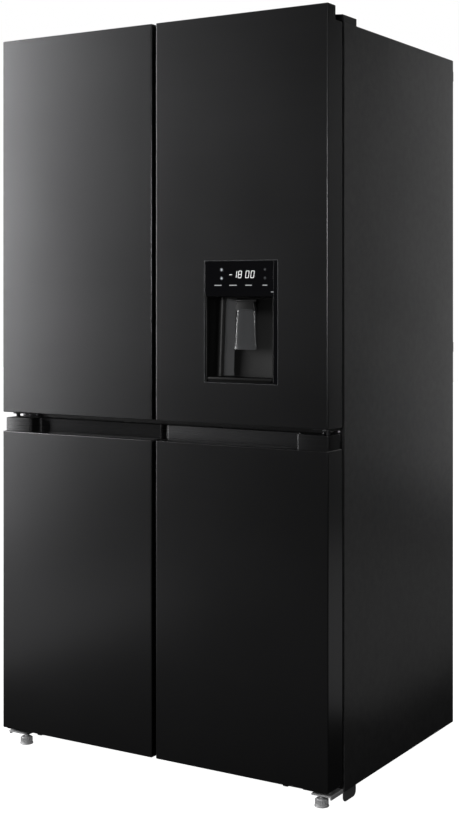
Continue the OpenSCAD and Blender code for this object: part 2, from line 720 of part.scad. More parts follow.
cabinet_shell();
back_panel();
base_tray();
cabinet_foam();
fridge_liner();
freezer_liner();
freezer_divider();
cross_rail();
top_hinges();
middle_hinges();
bottom_hinges();
hinge_covers();
hinge_screws();
rear_spacers();
glass_shelves();
air_duct();
evaporator_coil();
evaporator_cover();
compressor();
condenser_coil();
drain_pan();
machine_cover();
fan_mounts();
roller_brackets();
condenser_fan();
evaporator_fan();
left_roller();
right_roller();
left_foot();
right_foot();
left_top_drawer();
left_bottom_drawer();
right_top_drawer();
right_bottom_drawer();
left_crisper();
right_crisper();
upper_left_skin();
upper_right_skin();
lower_left_skin();
lower_right_skin();
upper_left_caps();
upper_right_caps();
lower_left_caps();
lower_right_caps();
upper_left_liner();
upper_right_liner();
lower_left_liner();
lower_right_liner();
upper_left_gasket();
upper_right_gasket();
lower_left_gasket();
lower_right_gasket();
upper_left_bins();
upper_right_bins();
flip_mullion();
dispenser_housing();
control_panel();
dispenser_paddle();
drip_tray();
water_tank();
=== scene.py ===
import json
import math

import bmesh
import bpy
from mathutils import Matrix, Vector


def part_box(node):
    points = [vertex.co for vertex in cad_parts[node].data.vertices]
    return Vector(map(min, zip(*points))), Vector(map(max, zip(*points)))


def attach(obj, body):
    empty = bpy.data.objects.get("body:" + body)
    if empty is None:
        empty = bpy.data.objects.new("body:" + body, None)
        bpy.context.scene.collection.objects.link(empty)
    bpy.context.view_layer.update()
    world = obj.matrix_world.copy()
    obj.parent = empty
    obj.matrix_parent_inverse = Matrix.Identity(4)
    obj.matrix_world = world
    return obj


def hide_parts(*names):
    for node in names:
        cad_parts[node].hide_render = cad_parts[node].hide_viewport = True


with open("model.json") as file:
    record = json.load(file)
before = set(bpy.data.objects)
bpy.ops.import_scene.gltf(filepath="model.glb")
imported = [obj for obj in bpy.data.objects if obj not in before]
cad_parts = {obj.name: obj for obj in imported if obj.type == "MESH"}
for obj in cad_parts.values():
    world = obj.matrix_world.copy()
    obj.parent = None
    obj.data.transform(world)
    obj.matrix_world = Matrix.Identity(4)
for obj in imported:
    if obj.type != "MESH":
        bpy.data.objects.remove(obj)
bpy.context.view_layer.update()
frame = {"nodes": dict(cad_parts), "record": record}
nodes = frame["nodes"]
print("frame loaded,", len(nodes), "parts")

# measures from the frame

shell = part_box("cabinet_shell")
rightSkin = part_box("upper_right_skin")
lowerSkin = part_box("lower_right_skin")
frontY = rightSkin[0].y
backY = rightSkin[1].y
sideX = rightSkin[1].x
gapX = rightSkin[0].x
doorTop = rightSkin[1].z
upperBase = rightSkin[0].z
lowerBase = lowerSkin[0].z
lowerPanelTop = lowerSkin[1].z
cabFront = shell[0].y
cabTop = shell[1].z


def jointSpot(name):
    found = next(j for j in frame["record"]["behaviour"]["joints"] if j["name"] == name)
    return Vector(found["pos_m"])


# camera, lights, floor

cameraSet = {"place": (1.8851, -3.0594, 1.1194), "turn": 31.715, "lens": 62.61, "sensor": 36,
             "shiftY": -0.1389}
lightSet = {
    # name: (place, aim, size across, size up, power)
    "keyLeft": ((-3.15, -2.42, 2.00), (-0.3, -0.35, 1.4), 0.8, 3.0, 95),
    "kickLeft": ((-2.9, -2.25, 0.20), (-0.3, -0.35, 0.15), 0.8, 0.35, 5),
    "lowLeft": ((-1.5, -1.3, 0.012), (-1.5, -1.3, 2.0), 1.2, 1.4, 1.2),
    "frontRight": ((0.95, -2.7, 1.35), (0.23, -0.29, 0.95), 0.5, 0.5, 13),
    "fillRight": ((3.6, -2.2, 2.2), (0.2, -0.2, 0.9), 1.0, 2.2, 5),
    "rearRight": ((1.05, 4.3, 1.35), (0.45, 0.2, 0.9), 0.9, 2.7, 19),
    "floorBounce": ((1.35, 1.6, 0.012), (1.35, 1.6, 2.0), 1.3, 2.6, 1.6),
    "overhead": ((0.0, 0.6, 3.9), (0, 0.1, 1), 2.0, 2.0, 10),
}
roomSet = {"seen": 1.0, "felt": 0.03, "floor": 0.8, "floorGlow": 1.05, "floorFelt": 0.09, "floorHalf": 14,
           "floorRough": 0.9}


def newObject(name, data):
    made = bpy.data.objects.new(name, data)
    bpy.context.collection.objects.link(made)
    return made


def addCamera():
    data = bpy.data.cameras.new("mainCamera")
    data.lens, data.sensor_width = cameraSet["lens"], cameraSet["sensor"]
    data.shift_y = cameraSet["shiftY"]
    data.clip_start, data.clip_end = 0.05, 100
    camera = newObject("mainCamera", data)
    camera.location = cameraSet["place"]
    camera.rotation_euler = (math.radians(90), 0, math.radians(cameraSet["turn"]))
    bpy.context.scene.camera = camera


def addLights():
    for name, (place, aim, across, up, power) in lightSet.items():
        data = bpy.data.lights.new(name, "AREA")
        data.shape, data.size, data.size_y, data.energy = "RECTANGLE", across, up, power
        lamp = newObject(name, data)
        lamp.location = place
        lamp.visible_camera = False
        lamp.rotation_euler = (Vector(aim) - Vector(place)).to_track_quat("-Z", "Y").to_euler()


# one shade for the camera's own rays, another for everything else
def splitByRay(tree, felt, seen, surface):
    path = tree.nodes.new("ShaderNodeLightPath")
    mix = tree.nodes.new("ShaderNodeMixShader")
    tree.links.new(path.outputs["Is Camera Ray"], mix.inputs["Fac"])
    tree.links.new(felt, mix.inputs[1])
    tree.links.new(seen, mix.inputs[2])
    tree.links.new(mix.outputs["Shader"], surface)


def addRoom():
    world = bpy.data.worlds.new("paleRoom")
    bpy.context.scene.world = world
    world.use_nodes = True
    tree = world.node_tree
    tree.nodes.clear()
    seen = tree.nodes.new("ShaderNodeBackground")
    felt = tree.nodes.new("ShaderNodeBackground")
    seen.inputs["Strength"].default_value = roomSet["seen"]
    felt.inputs["Strength"].default_value = roomSet["felt"]
    for shade in (seen, felt):
        shade.inputs["Color"].default_value = (1, 1, 1, 1)
    out = tree.nodes.new("ShaderNodeOutputWorld")
    splitByRay(tree, felt.outputs["Background"], seen.outputs["Background"], out.inputs["Surface"])

    mesh = bpy.data.meshes.new("studioFloor")
    half = roomSet["floorHalf"]
    mesh.from_pydata([(-half, -half, 0), (half, -half, 0), (half, half, 0), (-half, half, 0)], [],
                     [(0, 1, 2, 3)])
    floor = newObject("studioFloor", mesh)
    # pale to the eye, but dim in the doors' reflections
    paint = bpy.data.materials.new("floorPaint")
    paint.use_nodes = True
    tree = paint.node_tree
    shader = tree.nodes["Principled BSDF"]
    shader.inputs["Base Color"].default_value = (roomSet["floor"],) * 3 + (1,)
    shader.inputs["Roughness"].default_value = roomSet["floorRough"]
    shader.inputs["Emission Color"].default_value = (1, 1, 1, 1)
    shader.inputs["Emission Strength"].default_value = roomSet["floorGlow"]
    dark = tree.nodes.new("ShaderNodeBsdfDiffuse")
    dark.inputs["Color"].default_value = (roomSet["floorFelt"],) * 3 + (1,)
    splitByRay(tree, dark.outputs["BSDF"], shader.outputs["BSDF"],
               tree.nodes["Material Output"].inputs["Surface"])
    mesh.materials.append(paint)


addCamera()
addLights()
addRoom()
bpy.context.scene.view_settings.view_transform = "Standard"
print("studio ready")

# shader groups


def newGroup(name, inputs, outputs):
    group = bpy.data.node_groups.new(name, "ShaderNodeTree")
    for label, value in inputs.items():
        kind = "NodeSocketColor" if isinstance(value, tuple) else "NodeSocketFloat"
        socket = group.interface.new_socket(label, in_out="INPUT", socket_type=kind)
        socket.default_value = value
    for label, kind in outputs.items():
        group.interface.new_socket(label, in_out="OUTPUT", socket_type=kind)
    return group, group.nodes.new("NodeGroupInput"), group.nodes.new("NodeGroupOutput")


surfaceOutputs = {"Color": "NodeSocketColor", "Roughness": "NodeSocketFloat", "Height": "NodeSocketFloat"}


# the group's tint scaled by a gain, to its colour output
def tinted(group, entry, leave, gain):
    tint = group.nodes.new("ShaderNodeMix")
    tint.data_type, tint.blend_type = "RGBA", "MULTIPLY"
    tint.inputs["Factor"].default_value = 1.0
    group.links.new(entry.outputs["Tint"], tint.inputs["A"])
    group.links.new(gain, tint.inputs["B"])
    group.links.new(tint.outputs["Result"], leave.inputs["Color"])


def mathNode(tree, kind, a, b=None):
    node = tree.nodes.new("ShaderNodeMath")
    node.operation = kind
    for slot, value in zip(node.inputs, (a, b)):
        if value is None:
            continue
        if isinstance(value, (int, float)):
            slot.default_value = value
        else:
            tree.links.new(value, slot)
    return node.outputs["Value"]


def noiseNode(tree, vector, scale, detail=3.0, rough=0.55):
    node = tree.nodes.new("ShaderNodeTexNoise")
    tree.links.new(vector, node.inputs["Vector"])
    node.inputs["Scale"].default_value = scale
    node.inputs["Detail"].default_value = detail
    node.inputs["Roughness"].default_value = rough
    return node.outputs["Fac"]


def stretched(tree, vector, across, along, up):
    node = tree.nodes.new("ShaderNodeCombineXYZ")
    split = tree.nodes.new("ShaderNodeSeparateXYZ")
    tree.links.new(vector, split.inputs["Vector"])
    for axis, factor in zip("XYZ", (across, along, up)):
        tree.links.new(mathNode(tree, "MULTIPLY", split.outputs[axis], factor), node.inputs[axis])
    return node.outputs["Vector"]


# fine lines along X, as a belt leaves on sheet steel, with slow cloudy variation
def buildBrushGroup():
    group, entry, leave = newGroup(
        "beltBrush",
        {"Tint": (0.03, 0.03, 0.03, 1), "Contrast": 0.2, "Roughness": 0.35, "Spread": 0.08},
        surfaceOutputs,
    )
    place = group.nodes.new("ShaderNodeTexCoord").outputs["Object"]
    fine = noiseNode(group, stretched(group, place, 6, 6, 2600), 1.0, 2.0, 0.7)
    broad = noiseNode(group, stretched(group, place, 1.5, 1.5, 420), 1.0, 3.0, 0.6)
    cloud = noiseNode(group, place, 2.2, 2.0, 0.5)
    lines = mathNode(group, "ADD", mathNode(group, "MULTIPLY", fine, 0.6),
                     mathNode(group, "MULTIPLY", broad, 0.4))
    centred = mathNode(group, "SUBTRACT", lines, 0.5)
    gain = mathNode(group, "ADD", mathNode(group, "MULTIPLY", centred, entry.outputs["Contrast"]), 1.0)
    drift = mathNode(group, "SUBTRACT", cloud, 0.5)
    clouded = mathNode(group, "ADD", gain, mathNode(group, "MULTIPLY", drift, 0.12))
    tinted(group, entry, leave, clouded)
    wander = mathNode(group, "MULTIPLY", mathNode(group, "ADD", centred, drift), entry.outputs["Spread"])
    group.links.new(mathNode(group, "ADD", entry.outputs["Roughness"], wander), leave.inputs["Roughness"])
    group.links.new(lines, leave.inputs["Height"])
    return group


# fine moulded or sprayed texture with faint handling marks
def buildGrainGroup():
    group, entry, leave = newGroup(
        "fineGrain",
        {"Tint": (0.03, 0.03, 0.03, 1), "Scale": 900.0, "Contrast": 0.25, "Roughness": 0.5, "Marks": 0.12},
        surfaceOutputs,
    )
    place = group.nodes.new("ShaderNodeTexCoord").outputs["Object"]
    grain = group.nodes.new("ShaderNodeTexNoise")
    group.links.new(place, grain.inputs["Vector"])
    group.links.new(entry.outputs["Scale"], grain.inputs["Scale"])
    grain.inputs["Detail"].default_value = 2.0
    marks = noiseNode(group, place, 7.0, 4.0, 0.6)
    centred = mathNode(group, "SUBTRACT", marks, 0.5)
    speck = mathNode(group, "SUBTRACT", grain.outputs["Fac"], 0.5)
    both = mathNode(group, "ADD", centred, mathNode(group, "MULTIPLY", speck, 0.5))
    gain = mathNode(group, "ADD", mathNode(group, "MULTIPLY", both, entry.outputs["Contrast"]), 1.0)
    tinted(group, entry, leave, gain)
    wander = mathNode(group, "MULTIPLY", centred, entry.outputs["Marks"])
    group.links.new(mathNode(group, "ADD", entry.outputs["Roughness"], wander), leave.inputs["Roughness"])
    group.links.new(grain.outputs["Fac"], leave.inputs["Height"])
    return group


# painted highlight along convex edges, broken up by noise
def buildEdgeHighlightGroup():
    group, entry, leave = newGroup(
        "paintedEdgeHighlight",
        {"Color": (0.03, 0.03, 0.03, 1), "Rubbed": (0.2, 0.2, 0.2, 1), "Amount": 0.5},
        {"Color": "NodeSocketColor", "Mask": "NodeSocketFloat"},
    )
    shape = group.nodes.new("ShaderNodeNewGeometry")
    place = group.nodes.new("ShaderNodeTexCoord").outputs["Object"]
    ramp = group.nodes.new("ShaderNodeMapRange")
    group.links.new(shape.outputs["Pointiness"], ramp.inputs["Value"])
    ramp.inputs["From Min"].default_value = 0.515
    ramp.inputs["From Max"].default_value = 0.60
    broken = mathNode(group, "MULTIPLY", ramp.outputs["Result"], noiseNode(group, place, 60.0, 3.0, 0.6))
    mask = mathNode(group, "MULTIPLY", broken, entry.outputs["Amount"])
    mix = group.nodes.new("ShaderNodeMix")
    mix.data_type = "RGBA"
    group.links.new(mask, mix.inputs["Factor"])
    group.links.new(entry.outputs["Color"], mix.inputs["A"])
    group.links.new(entry.outputs["Rubbed"], mix.inputs["B"])
    group.links.new(mix.outputs["Result"], leave.inputs["Color"])
    group.links.new(mask, leave.inputs["Mask"])
    return group


brushGroup = buildBrushGroup()
grainGroup = buildGrainGroup()
edgeHighlightGroup = buildEdgeHighlightGroup()

# materials


def startMaterial(name, **fixed):
    made = bpy.data.materials.new(name)
    made.use_nodes = True
    shader = made.node_tree.nodes["Principled BSDF"]
    for label, value in fixed.items():
        shader.inputs[label.replace("_", " ")].default_value = value
    return made, made.node_tree, shader


def placeGroup(tree, group, **values):
    node = tree.nodes.new("ShaderNodeGroup")
    node.node_tree = group
    for label, value in values.items():
        node.inputs[label].default_value = (*value, 1) if isinstance(value, tuple) else value
    return node


def addBump(tree, shader, height, strength, distance):
    bump = tree.nodes.new("ShaderNodeBump")
    bump.inputs["Strength"].default_value = strength
    bump.inputs["Distance"].default_value = distance
    tree.links.new(height, bump.inputs["Height"])
    tree.links.new(bump.outputs["Normal"], shader.inputs["Normal"])


def surfaced(name, group, tint, rough, bump, edgeHighlight=None, extra=None, **fixed):
    made, tree, shader = startMaterial(name, **fixed)
    body = placeGroup(tree, group, Tint=tint, Roughness=rough, **(extra or {}))
    colour = body.outputs["Color"]
    # where a colour is given for it, a painted highlight along the convex edges
    if edgeHighlight:
        edge = placeGroup(tree, edgeHighlightGroup, Rubbed=edgeHighlight[0], Amount=edgeHighlight[1])
        tree.links.new(colour, edge.inputs["Color"])
        colour = edge.outputs["Color"]
    tree.links.new(colour, shader.inputs["Base Color"])
    tree.links.new(body.outputs["Roughness"], shader.inputs["Roughness"])
    addBump(tree, shader, body.outputs["Height"], bump[0], bump[1])
    return made


doorSteel = surfaced("darkDoorSteel", brushGroup, (0.112, 0.112, 0.115), 0.255, (0.05, 0.0001),
                     extra={"Contrast": 0.18, "Spread": 0.05}, Metallic=1.0)
# the second colour in the finishes below is a painted highlight along convex edges
cabinetCoat = surfaced("cabinetCoat", grainGroup, (0.021, 0.021, 0.022), 0.30, (0.22, 0.0002),
                       edgeHighlight=((0.16, 0.16, 0.16), 0.6),
                       extra={"Scale": 1100.0, "Contrast": 0.12, "Marks": 0.1}, Specular_IOR_Level=0.5)
trimPlastic = surfaced("blackTrimPlastic", grainGroup, (0.009, 0.009, 0.010), 0.45, (0.18, 0.0002),
                       edgeHighlight=((0.09, 0.09, 0.09), 0.5), extra={"Scale": 1400.0})
gripPlastic = surfaced("gripBrushedPlastic", brushGroup, (0.062, 0.062, 0.064), 0.27, (0.1, 0.0001),
                       edgeHighlight=((0.2, 0.2, 0.2), 0.6), extra={"Contrast": 0.4, "Spread": 0.1}, Metallic=0.9)
housingPlastic = surfaced("dispenserPlastic", brushGroup, (0.150, 0.152, 0.156), 0.5, (0.05, 0.0001),
                          extra={"Contrast": 0.2}, Metallic=0.1)
recessBlack = surfaced("recessBlack", grainGroup, (0.004, 0.004, 0.004), 0.4, (0.1, 0.0001),
                       extra={"Scale": 1600.0})
zincSteel = surfaced("galvanisedSteel", grainGroup, (0.62, 0.63, 0.64), 0.36, (0.2, 0.0003),
                     edgeHighlight=((0.85, 0.85, 0.85), 0.4), extra={"Scale": 90.0, "Contrast": 0.5, "Marks": 0.3},
                     Metallic=0.9)
screwSteel = surfaced("screwSteel", brushGroup, (0.7, 0.7, 0.72), 0.28, (0.1, 0.0001), Metallic=1.0)
hingeSteel = surfaced("hingeSteel", grainGroup, (0.035, 0.035, 0.037), 0.38, (0.15, 0.0002),
                      edgeHighlight=((0.3, 0.3, 0.3), 0.7), extra={"Scale": 500.0}, Metallic=0.4)
linerPlastic = surfaced("whiteLinerPlastic", grainGroup, (0.80, 0.81, 0.81), 0.28, (0.05, 0.0002),
                        extra={"Scale": 300.0, "Contrast": 0.05})
foamMaterial = surfaced("insulatingFoam", grainGroup, (0.75, 0.62, 0.34), 0.85, (0.6, 0.001),
                        extra={"Scale": 500.0, "Contrast": 0.4})
sealRubber = surfaced("sealRubber", grainGroup, (0.035, 0.035, 0.037), 0.62, (0.1, 0.0002),
                      extra={"Scale": 700.0})
coilAluminium = surfaced("coilAluminium", brushGroup, (0.7, 0.71, 0.72), 0.3, (0.2, 0.0002), Metallic=1.0)
condenserSteel = surfaced("condenserSteel", grainGroup, (0.06, 0.03, 0.022), 0.4, (0.2, 0.0002),
                          Metallic=0.5)
compressorPaint = surfaced("compressorPaint", grainGroup, (0.008, 0.008, 0.009), 0.25, (0.3, 0.0003),
                           edgeHighlight=((0.1, 0.1, 0.1), 0.5), extra={"Scale": 200.0})
footZinc = surfaced("footZinc", grainGroup, (0.86, 0.86, 0.87), 0.45, (0.2, 0.0003),
                   edgeHighlight=((0.95, 0.95, 0.95), 0.4), extra={"Scale": 300.0, "Contrast": 0.4, "Marks": 0.2},
                   Metallic=0.15)
rollerPlastic = surfaced("rollerPlastic", grainGroup, (0.03, 0.03, 0.03), 0.6, (0.3, 0.0002),
                         extra={"Scale": 600.0})
machineCoat = surfaced("rearCoverCoat", grainGroup, (0.05, 0.05, 0.052), 0.55, (0.2, 0.0002),
                       edgeHighlight=((0.2, 0.2, 0.2), 0.4), extra={"Scale": 800.0})


# smooth glass or clear plastic, with faint smears in the gloss
def smoothMaterial(name, tint, rough, scale=240.0, **fixed):
    made, tree, shader = startMaterial(name, **fixed)
    body = placeGroup(tree, grainGroup, Tint=tint, Roughness=rough, Scale=scale, Contrast=0.1, Marks=0.1)
    tree.links.new(body.outputs["Color"], shader.inputs["Base Color"])
    tree.links.new(body.outputs["Roughness"], shader.inputs["Roughness"])
    return made


drawerClear = smoothMaterial("frostedClearPlastic", (0.72, 0.80, 0.83), 0.2, Alpha=0.5, IOR=1.49)
shelfGlass = smoothMaterial("shelfGlass", (0.66, 0.80, 0.80), 0.06, Alpha=0.3, IOR=1.49)
paddleClear = smoothMaterial("smokyPaddle", (0.12, 0.123, 0.127), 0.15, Alpha=0.5, IOR=1.49)
panelGlass = smoothMaterial("blackGlass", (0.004, 0.004, 0.005), 0.12, 40.0, IOR=1.5, Coat_Roughness=0.02,
                            Coat_IOR=1.5)


def glowMaterial(name, colour, strength, base=(0.02, 0.02, 0.02)):
    made, tree, shader = startMaterial(name, Emission_Strength=strength, Roughness=0.4)
    body = placeGroup(tree, grainGroup, Tint=colour, Roughness=0.4, Scale=2000.0, Contrast=0.1)
    shader.inputs["Base Color"].default_value = (*base, 1)
    tree.links.new(body.outputs["Color"], shader.inputs["Emission Color"])
    return made


litDigit = glowMaterial("litDigit", (1.0, 1.0, 1.0), 1.1)
litLamp = glowMaterial("litLamp", (0.9, 0.95, 1.0), 0.75)
dimIcon = glowMaterial("dimIcon", (0.35, 0.37, 0.4), 0.16)
trimLine = surfaced("bezelTrimLine", brushGroup, (0.55, 0.56, 0.58), 0.4, (0.05, 0.0001),
                    extra={"Contrast": 0.2}, Metallic=0.9)
markPrint = glowMaterial("printedMark", (0.8, 0.82, 0.85), 0.3, base=(0.3, 0.3, 0.3))
lampLens = glowMaterial("lampLens", (1.0, 1.0, 0.98), 0.25, base=(0.8, 0.8, 0.8))

# what every CAD part is made of, seen wherever no finer piece replaces it
def paintParts(material, names):
    for name in names.split():
        mesh = nodes[name].data
        mesh.materials.clear()
        mesh.materials.append(material)


paintParts(cabinetCoat, "cabinet_shell")
paintParts(zincSteel, "back_panel base_tray roller_brackets")
paintParts(footZinc, "bottom_hinges left_foot right_foot")
paintParts(hingeSteel, "top_hinges middle_hinges")
paintParts(screwSteel, "hinge_screws")
paintParts(foamMaterial, "cabinet_foam")
paintParts(trimPlastic, "cross_rail hinge_covers rear_spacers fan_mounts condenser_fan")
paintParts(trimPlastic, "upper_left_caps upper_right_caps")
paintParts(gripPlastic, "lower_left_caps lower_right_caps")
paintParts(linerPlastic, "fridge_liner freezer_liner freezer_divider drain_pan flip_mullion")
paintParts(linerPlastic, "air_duct evaporator_cover evaporator_fan")
paintParts(rollerPlastic, "left_roller right_roller")
paintParts(compressorPaint, "compressor")
paintParts(condenserSteel, "condenser_coil")
paintParts(coilAluminium, "evaporator_coil")
paintParts(machineCoat, "machine_cover")
paintParts(shelfGlass, "glass_shelves")
paintParts(housingPlastic, "dispenser_housing")
paintParts(panelGlass, "control_panel")
paintParts(paddleClear, "dispenser_paddle")
paintParts(recessBlack, "drip_tray")
paintParts(drawerClear, "water_tank upper_left_bins upper_right_bins")
for side in ("left", "right"):
    paintParts(drawerClear, f"{side}_top_drawer {side}_bottom_drawer {side}_crisper")
    for level in ("upper", "lower"):
        paintParts(doorSteel, f"{level}_{side}_skin")
        paintParts(linerPlastic, f"{level}_{side}_liner")
        paintParts(sealRubber, f"{level}_{side}_gasket")
print("materials ready")

# mesh helpers


def shadeByAngle(mesh, degrees):
    mesh.shade_smooth()
    mesh.set_sharp_from_angle(angle=math.radians(degrees))


# the finished bmesh as a new object, with shading split at the given angle
def finishMesh(bm, name, material, angle=35, outward=True, merge=2e-6):
    bmesh.ops.remove_doubles(bm, verts=bm.verts, dist=merge)
    if outward:
        bmesh.ops.recalc_face_normals(bm, faces=bm.faces)
    mesh = bpy.data.meshes.new(name)
    bm.to_mesh(mesh)
    bm.free()
    mesh.materials.append(material)
    shadeByAngle(mesh, angle)
    return newObject(name, mesh)


# the evaluated result as the object's own mesh, with no modifier left
def bake(obj):
    bpy.context.view_layer.update()
    depsgraph = bpy.context.evaluated_depsgraph_get()
    mesh = bpy.data.meshes.new_from_object(obj.evaluated_get(depsgraph), depsgraph=depsgraph)
    obj.modifiers.clear()
    obj.data = mesh
    return obj


# keeps broad faces flat while their rounded edges stay smooth
def evenNormals(obj, degrees=50):
    shadeByAngle(obj.data, degrees)
    weighted = obj.modifiers.new("evenNormals", "WEIGHTED_NORMAL")
    weighted.keep_sharp, weighted.weight = True, 100
    return bake(obj)


# rides a body, and stands in for the named CAD parts
def place(obj, body, slotName, *replaced):
    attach(obj, body)
    if replaced:
        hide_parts(*replaced)
    return obj


def mirrored(bm):
    for vertex in bm.verts:
        vertex.co.x = -vertex.co.x
    bmesh.ops.reverse_faces(bm, faces=bm.faces)
    return bm


def addBevel(obj, width, segments=2, angle=30):
    bevel = obj.modifiers.new("softEdge", "BEVEL")
    bevel.width, bevel.segments, bevel.limit_method = width, segments, "ANGLE"
    bevel.angle_limit = math.radians(angle)
    bevel.harden_normals = True
    return obj


# a CAD part's own mesh, merged and cleared of flat edges, as a start for a finer piece
def cadCopy(nodeName, keepBelow=None):
    bm = bmesh.new()
    bm.from_mesh(nodes[nodeName].data)
    bmesh.ops.remove_doubles(bm, verts=bm.verts, dist=2e-6)
    bmesh.ops.dissolve_limit(bm, angle_limit=math.radians(0.6), verts=bm.verts, edges=bm.edges)
    if keepBelow is not None:
        geometry = bm.verts[:] + bm.edges[:] + bm.faces[:]
        cut = bmesh.ops.bisect_plane(bm, geom=geometry, plane_co=(0, 0, keepBelow), plane_no=(0, 0, 1),
                                     clear_outer=True)
        edges = [item for item in cut["geom_cut"] if isinstance(item, bmesh.types.BMEdge)]
        bmesh.ops.triangle_fill(bm, use_dissolve=True, edges=edges)
    return bm


# a CAD part with its edges rounded
def softened(nodeName, width, slotName, segments=2, angle=30, keepBelow=None, title=None):
    obj = finishMesh(cadCopy(nodeName, keepBelow), title or nodeName + "Soft",
                     nodes[nodeName].data.materials[0], outward=False)
    bake(addBevel(obj, width, segments, angle))
    return place(obj, bodyOf[nodeName], slotName, nodeName)


def addBlock(bm, low, high, radius=0.0, segments=2):
    made = bmesh.ops.create_cube(bm, size=1.0)
    middle = [(a + b) / 2 for a, b in zip(low, high)]
    size = [b - a for a, b in zip(low, high)]
    for vertex in made["verts"]:
        vertex.co = Vector([m + c * s for m, c, s in zip(middle, vertex.co, size)])
    if radius:
        edges = list({edge for vertex in made["verts"] for edge in vertex.link_edges})
        bmesh.ops.bevel(bm, geom=edges, offset=radius, segments=segments, affect="EDGES", profile=0.5)


# joins rings of points, one after another, and closes both ends unless told not to
def addLoft(bm, rings, closeEnds=True, closeRound=True, loop=False):
    rows = [[bm.verts.new(point) for point in ring] for ring in rings]
    count = len(rows[0])
    pairs = list(zip(rows, rows[1:])) + ([(rows[-1], rows[0])] if loop else [])
    for lower, upper in pairs:
        for i in range(count if closeRound else count - 1):
            j = (i + 1) % count
            bm.faces.new((lower[i], lower[j], upper[j], upper[i]))
    if closeEnds and not loop:
        bm.faces.new(list(reversed(rows[0])))
        bm.faces.new(rows[-1])
    return rows


# spins a profile of (radius, distance) about an axis through a point
def addLathe(bm, profile, centre, axis, steps=32):
    turn = Vector((0, 0, 1)).rotation_difference(Vector(axis)).to_matrix()
    rings = []
    for radius, along in profile:
        ring = []
        for k in range(steps):
            angle = 2 * math.pi * k / steps
            ring.append(Vector(centre) + turn @ Vector((radius * math.cos(angle), radius * math.sin(angle),
                                                        along)))
        rings.append(ring)
    addLoft(bm, rings)


def roundedOutline(x0, x1, y0, y1, radius, steps=5):
    points = []
    for cx, cy, start in ((x1 - radius, y1 - radius, 0), (x0 + radius, y1 - radius, 90),
                          (x0 + radius, y0 + radius, 180), (x1 - radius, y0 + radius, 270)):
        for k in range(steps + 1):
            angle = math.radians(start + 90 * k / steps)
            points.append((cx + radius * math.cos(angle), cy + radius * math.sin(angle)))
    return points


# open-topped moulded box: drafted walls, round corners, a rolled rim and an even wall
def addTray(bm, low, high, wall=0.0025, corner=0.012, draft=0.004, rim=0.004, foot=0.006):
    (x0, y0, z0), (x1, y1, z1) = low, high

    def ring(z, inset, radius):
        return [Vector((x, y, z)) for x, y in roundedOutline(x0 + inset, x1 - inset, y0 + inset, y1 - inset,
                max(radius, 0.001))]

    lean = rim + draft
    rings = [ring(z0, lean + foot, corner * 0.7), ring(z0 + foot * 0.3, lean + foot * 0.3, corner * 0.9),
             ring(z0 + foot, lean, corner)]
    drop = min(0.012, (z1 - z0) * 0.45)
    rings += [ring(z1 - drop, rim, corner), ring(z1 - drop * 0.75, rim * 0.3, corner),
              ring(z1 - drop * 0.5, 0, corner)]
    rings += [ring(z1 - 0.001, 0, corner), ring(z1, 0.0012, corner), ring(z1, rim + wall - 0.001, corner),
              ring(z1 - 0.002, rim + wall, corner)]
    rings += [ring(z0 + foot + wall, lean + wall, corner),
              ring(z0 + wall * 1.3, lean + wall + foot * 0.4, corner * 0.9),
              ring(z0 + wall, lean + wall + foot, corner * 0.7)]
    addLoft(bm, rings)


# a flat outline given in two of the axes, pushed along the third
def addPrism(bm, outline, axis, start, end):
    def point(a, b, c):
        return {"x": (c, a, b), "y": (a, c, b), "z": (a, b, c)}[axis]

    addLoft(bm, [[point(a, b, start) for a, b in outline], [point(a, b, end) for a, b in outline]])


bodyOf = {name: body for body, names in frame["record"]["behaviour"]["bodies"].items() for name in names}
slotOf = {part["node"]: part["material_slot"] for part in frame["record"]["subparts"]}

# geometry trees


def startTree(name, inputs):
    tree = bpy.data.node_groups.new(name, "GeometryNodeTree")
    tree.interface.new_socket("Geometry", in_out="INPUT", socket_type="NodeSocketGeometry")
    for label, kind, value in inputs:
        socket = tree.interface.new_socket(label, in_out="INPUT", socket_type="NodeSocket" + kind)
        if value is not None:
            socket.default_value = value
    tree.interface.new_socket("Geometry", in_out="OUTPUT", socket_type="NodeSocketGeometry")
    return tree, tree.nodes.new("NodeGroupInput"), tree.nodes.new("NodeGroupOutput")


# a node with sockets linked to it and plain values set
def addNode(tree, kind, links=(), **values):
    node = tree.nodes.new(kind)
    for socket, source in dict(links).items():
        tree.links.new(source, node.inputs[socket])
    for label, value in values.items():
        node.inputs[label.replace("_", " ")].default_value = value
    return node


def endTree(tree, entry, leave, instances):
    real = addNode(tree, "GeometryNodeRealizeInstances", {"Geometry": instances})
    paint = addNode(tree, "GeometryNodeSetMaterial",
                    {"Geometry": real.outputs["Geometry"], "Material": entry.outputs["Finish"]})
    tree.links.new(paint.outputs["Geometry"], leave.inputs["Geometry"])
    return tree


# the host mesh repeated in rows: Count along Step, and Rows along Row Step
def buildRowTree():
    tree, entry, leave = startTree("repeatInRows", [
        ("Count", "Int", 5), ("Step", "Vector", (0.01, 0, 0)), ("Rows", "Int", 1),
        ("Row Step", "Vector", (0, 0, 0.01)), ("Finish", "Material", None)])
    line = tree.nodes.new("GeometryNodeMeshLine")
    rows = tree.nodes.new("GeometryNodeMeshLine")
    for node, count, step in ((line, "Count", "Step"), (rows, "Rows", "Row Step")):
        node.mode = "OFFSET"
        tree.links.new(entry.outputs[count], node.inputs["Count"])
        tree.links.new(entry.outputs[step], node.inputs["Offset"])
    spread = addNode(tree, "GeometryNodeInstanceOnPoints",
                     {"Points": line.outputs["Mesh"], "Instance": rows.outputs["Mesh"]})
    spots = addNode(tree, "GeometryNodeRealizeInstances", {"Geometry": spread.outputs["Instances"]})
    copies = addNode(tree, "GeometryNodeInstanceOnPoints",
                     {"Points": spots.outputs["Geometry"], "Instance": entry.outputs["Geometry"]})
    return endTree(tree, entry, leave, copies.outputs["Instances"])


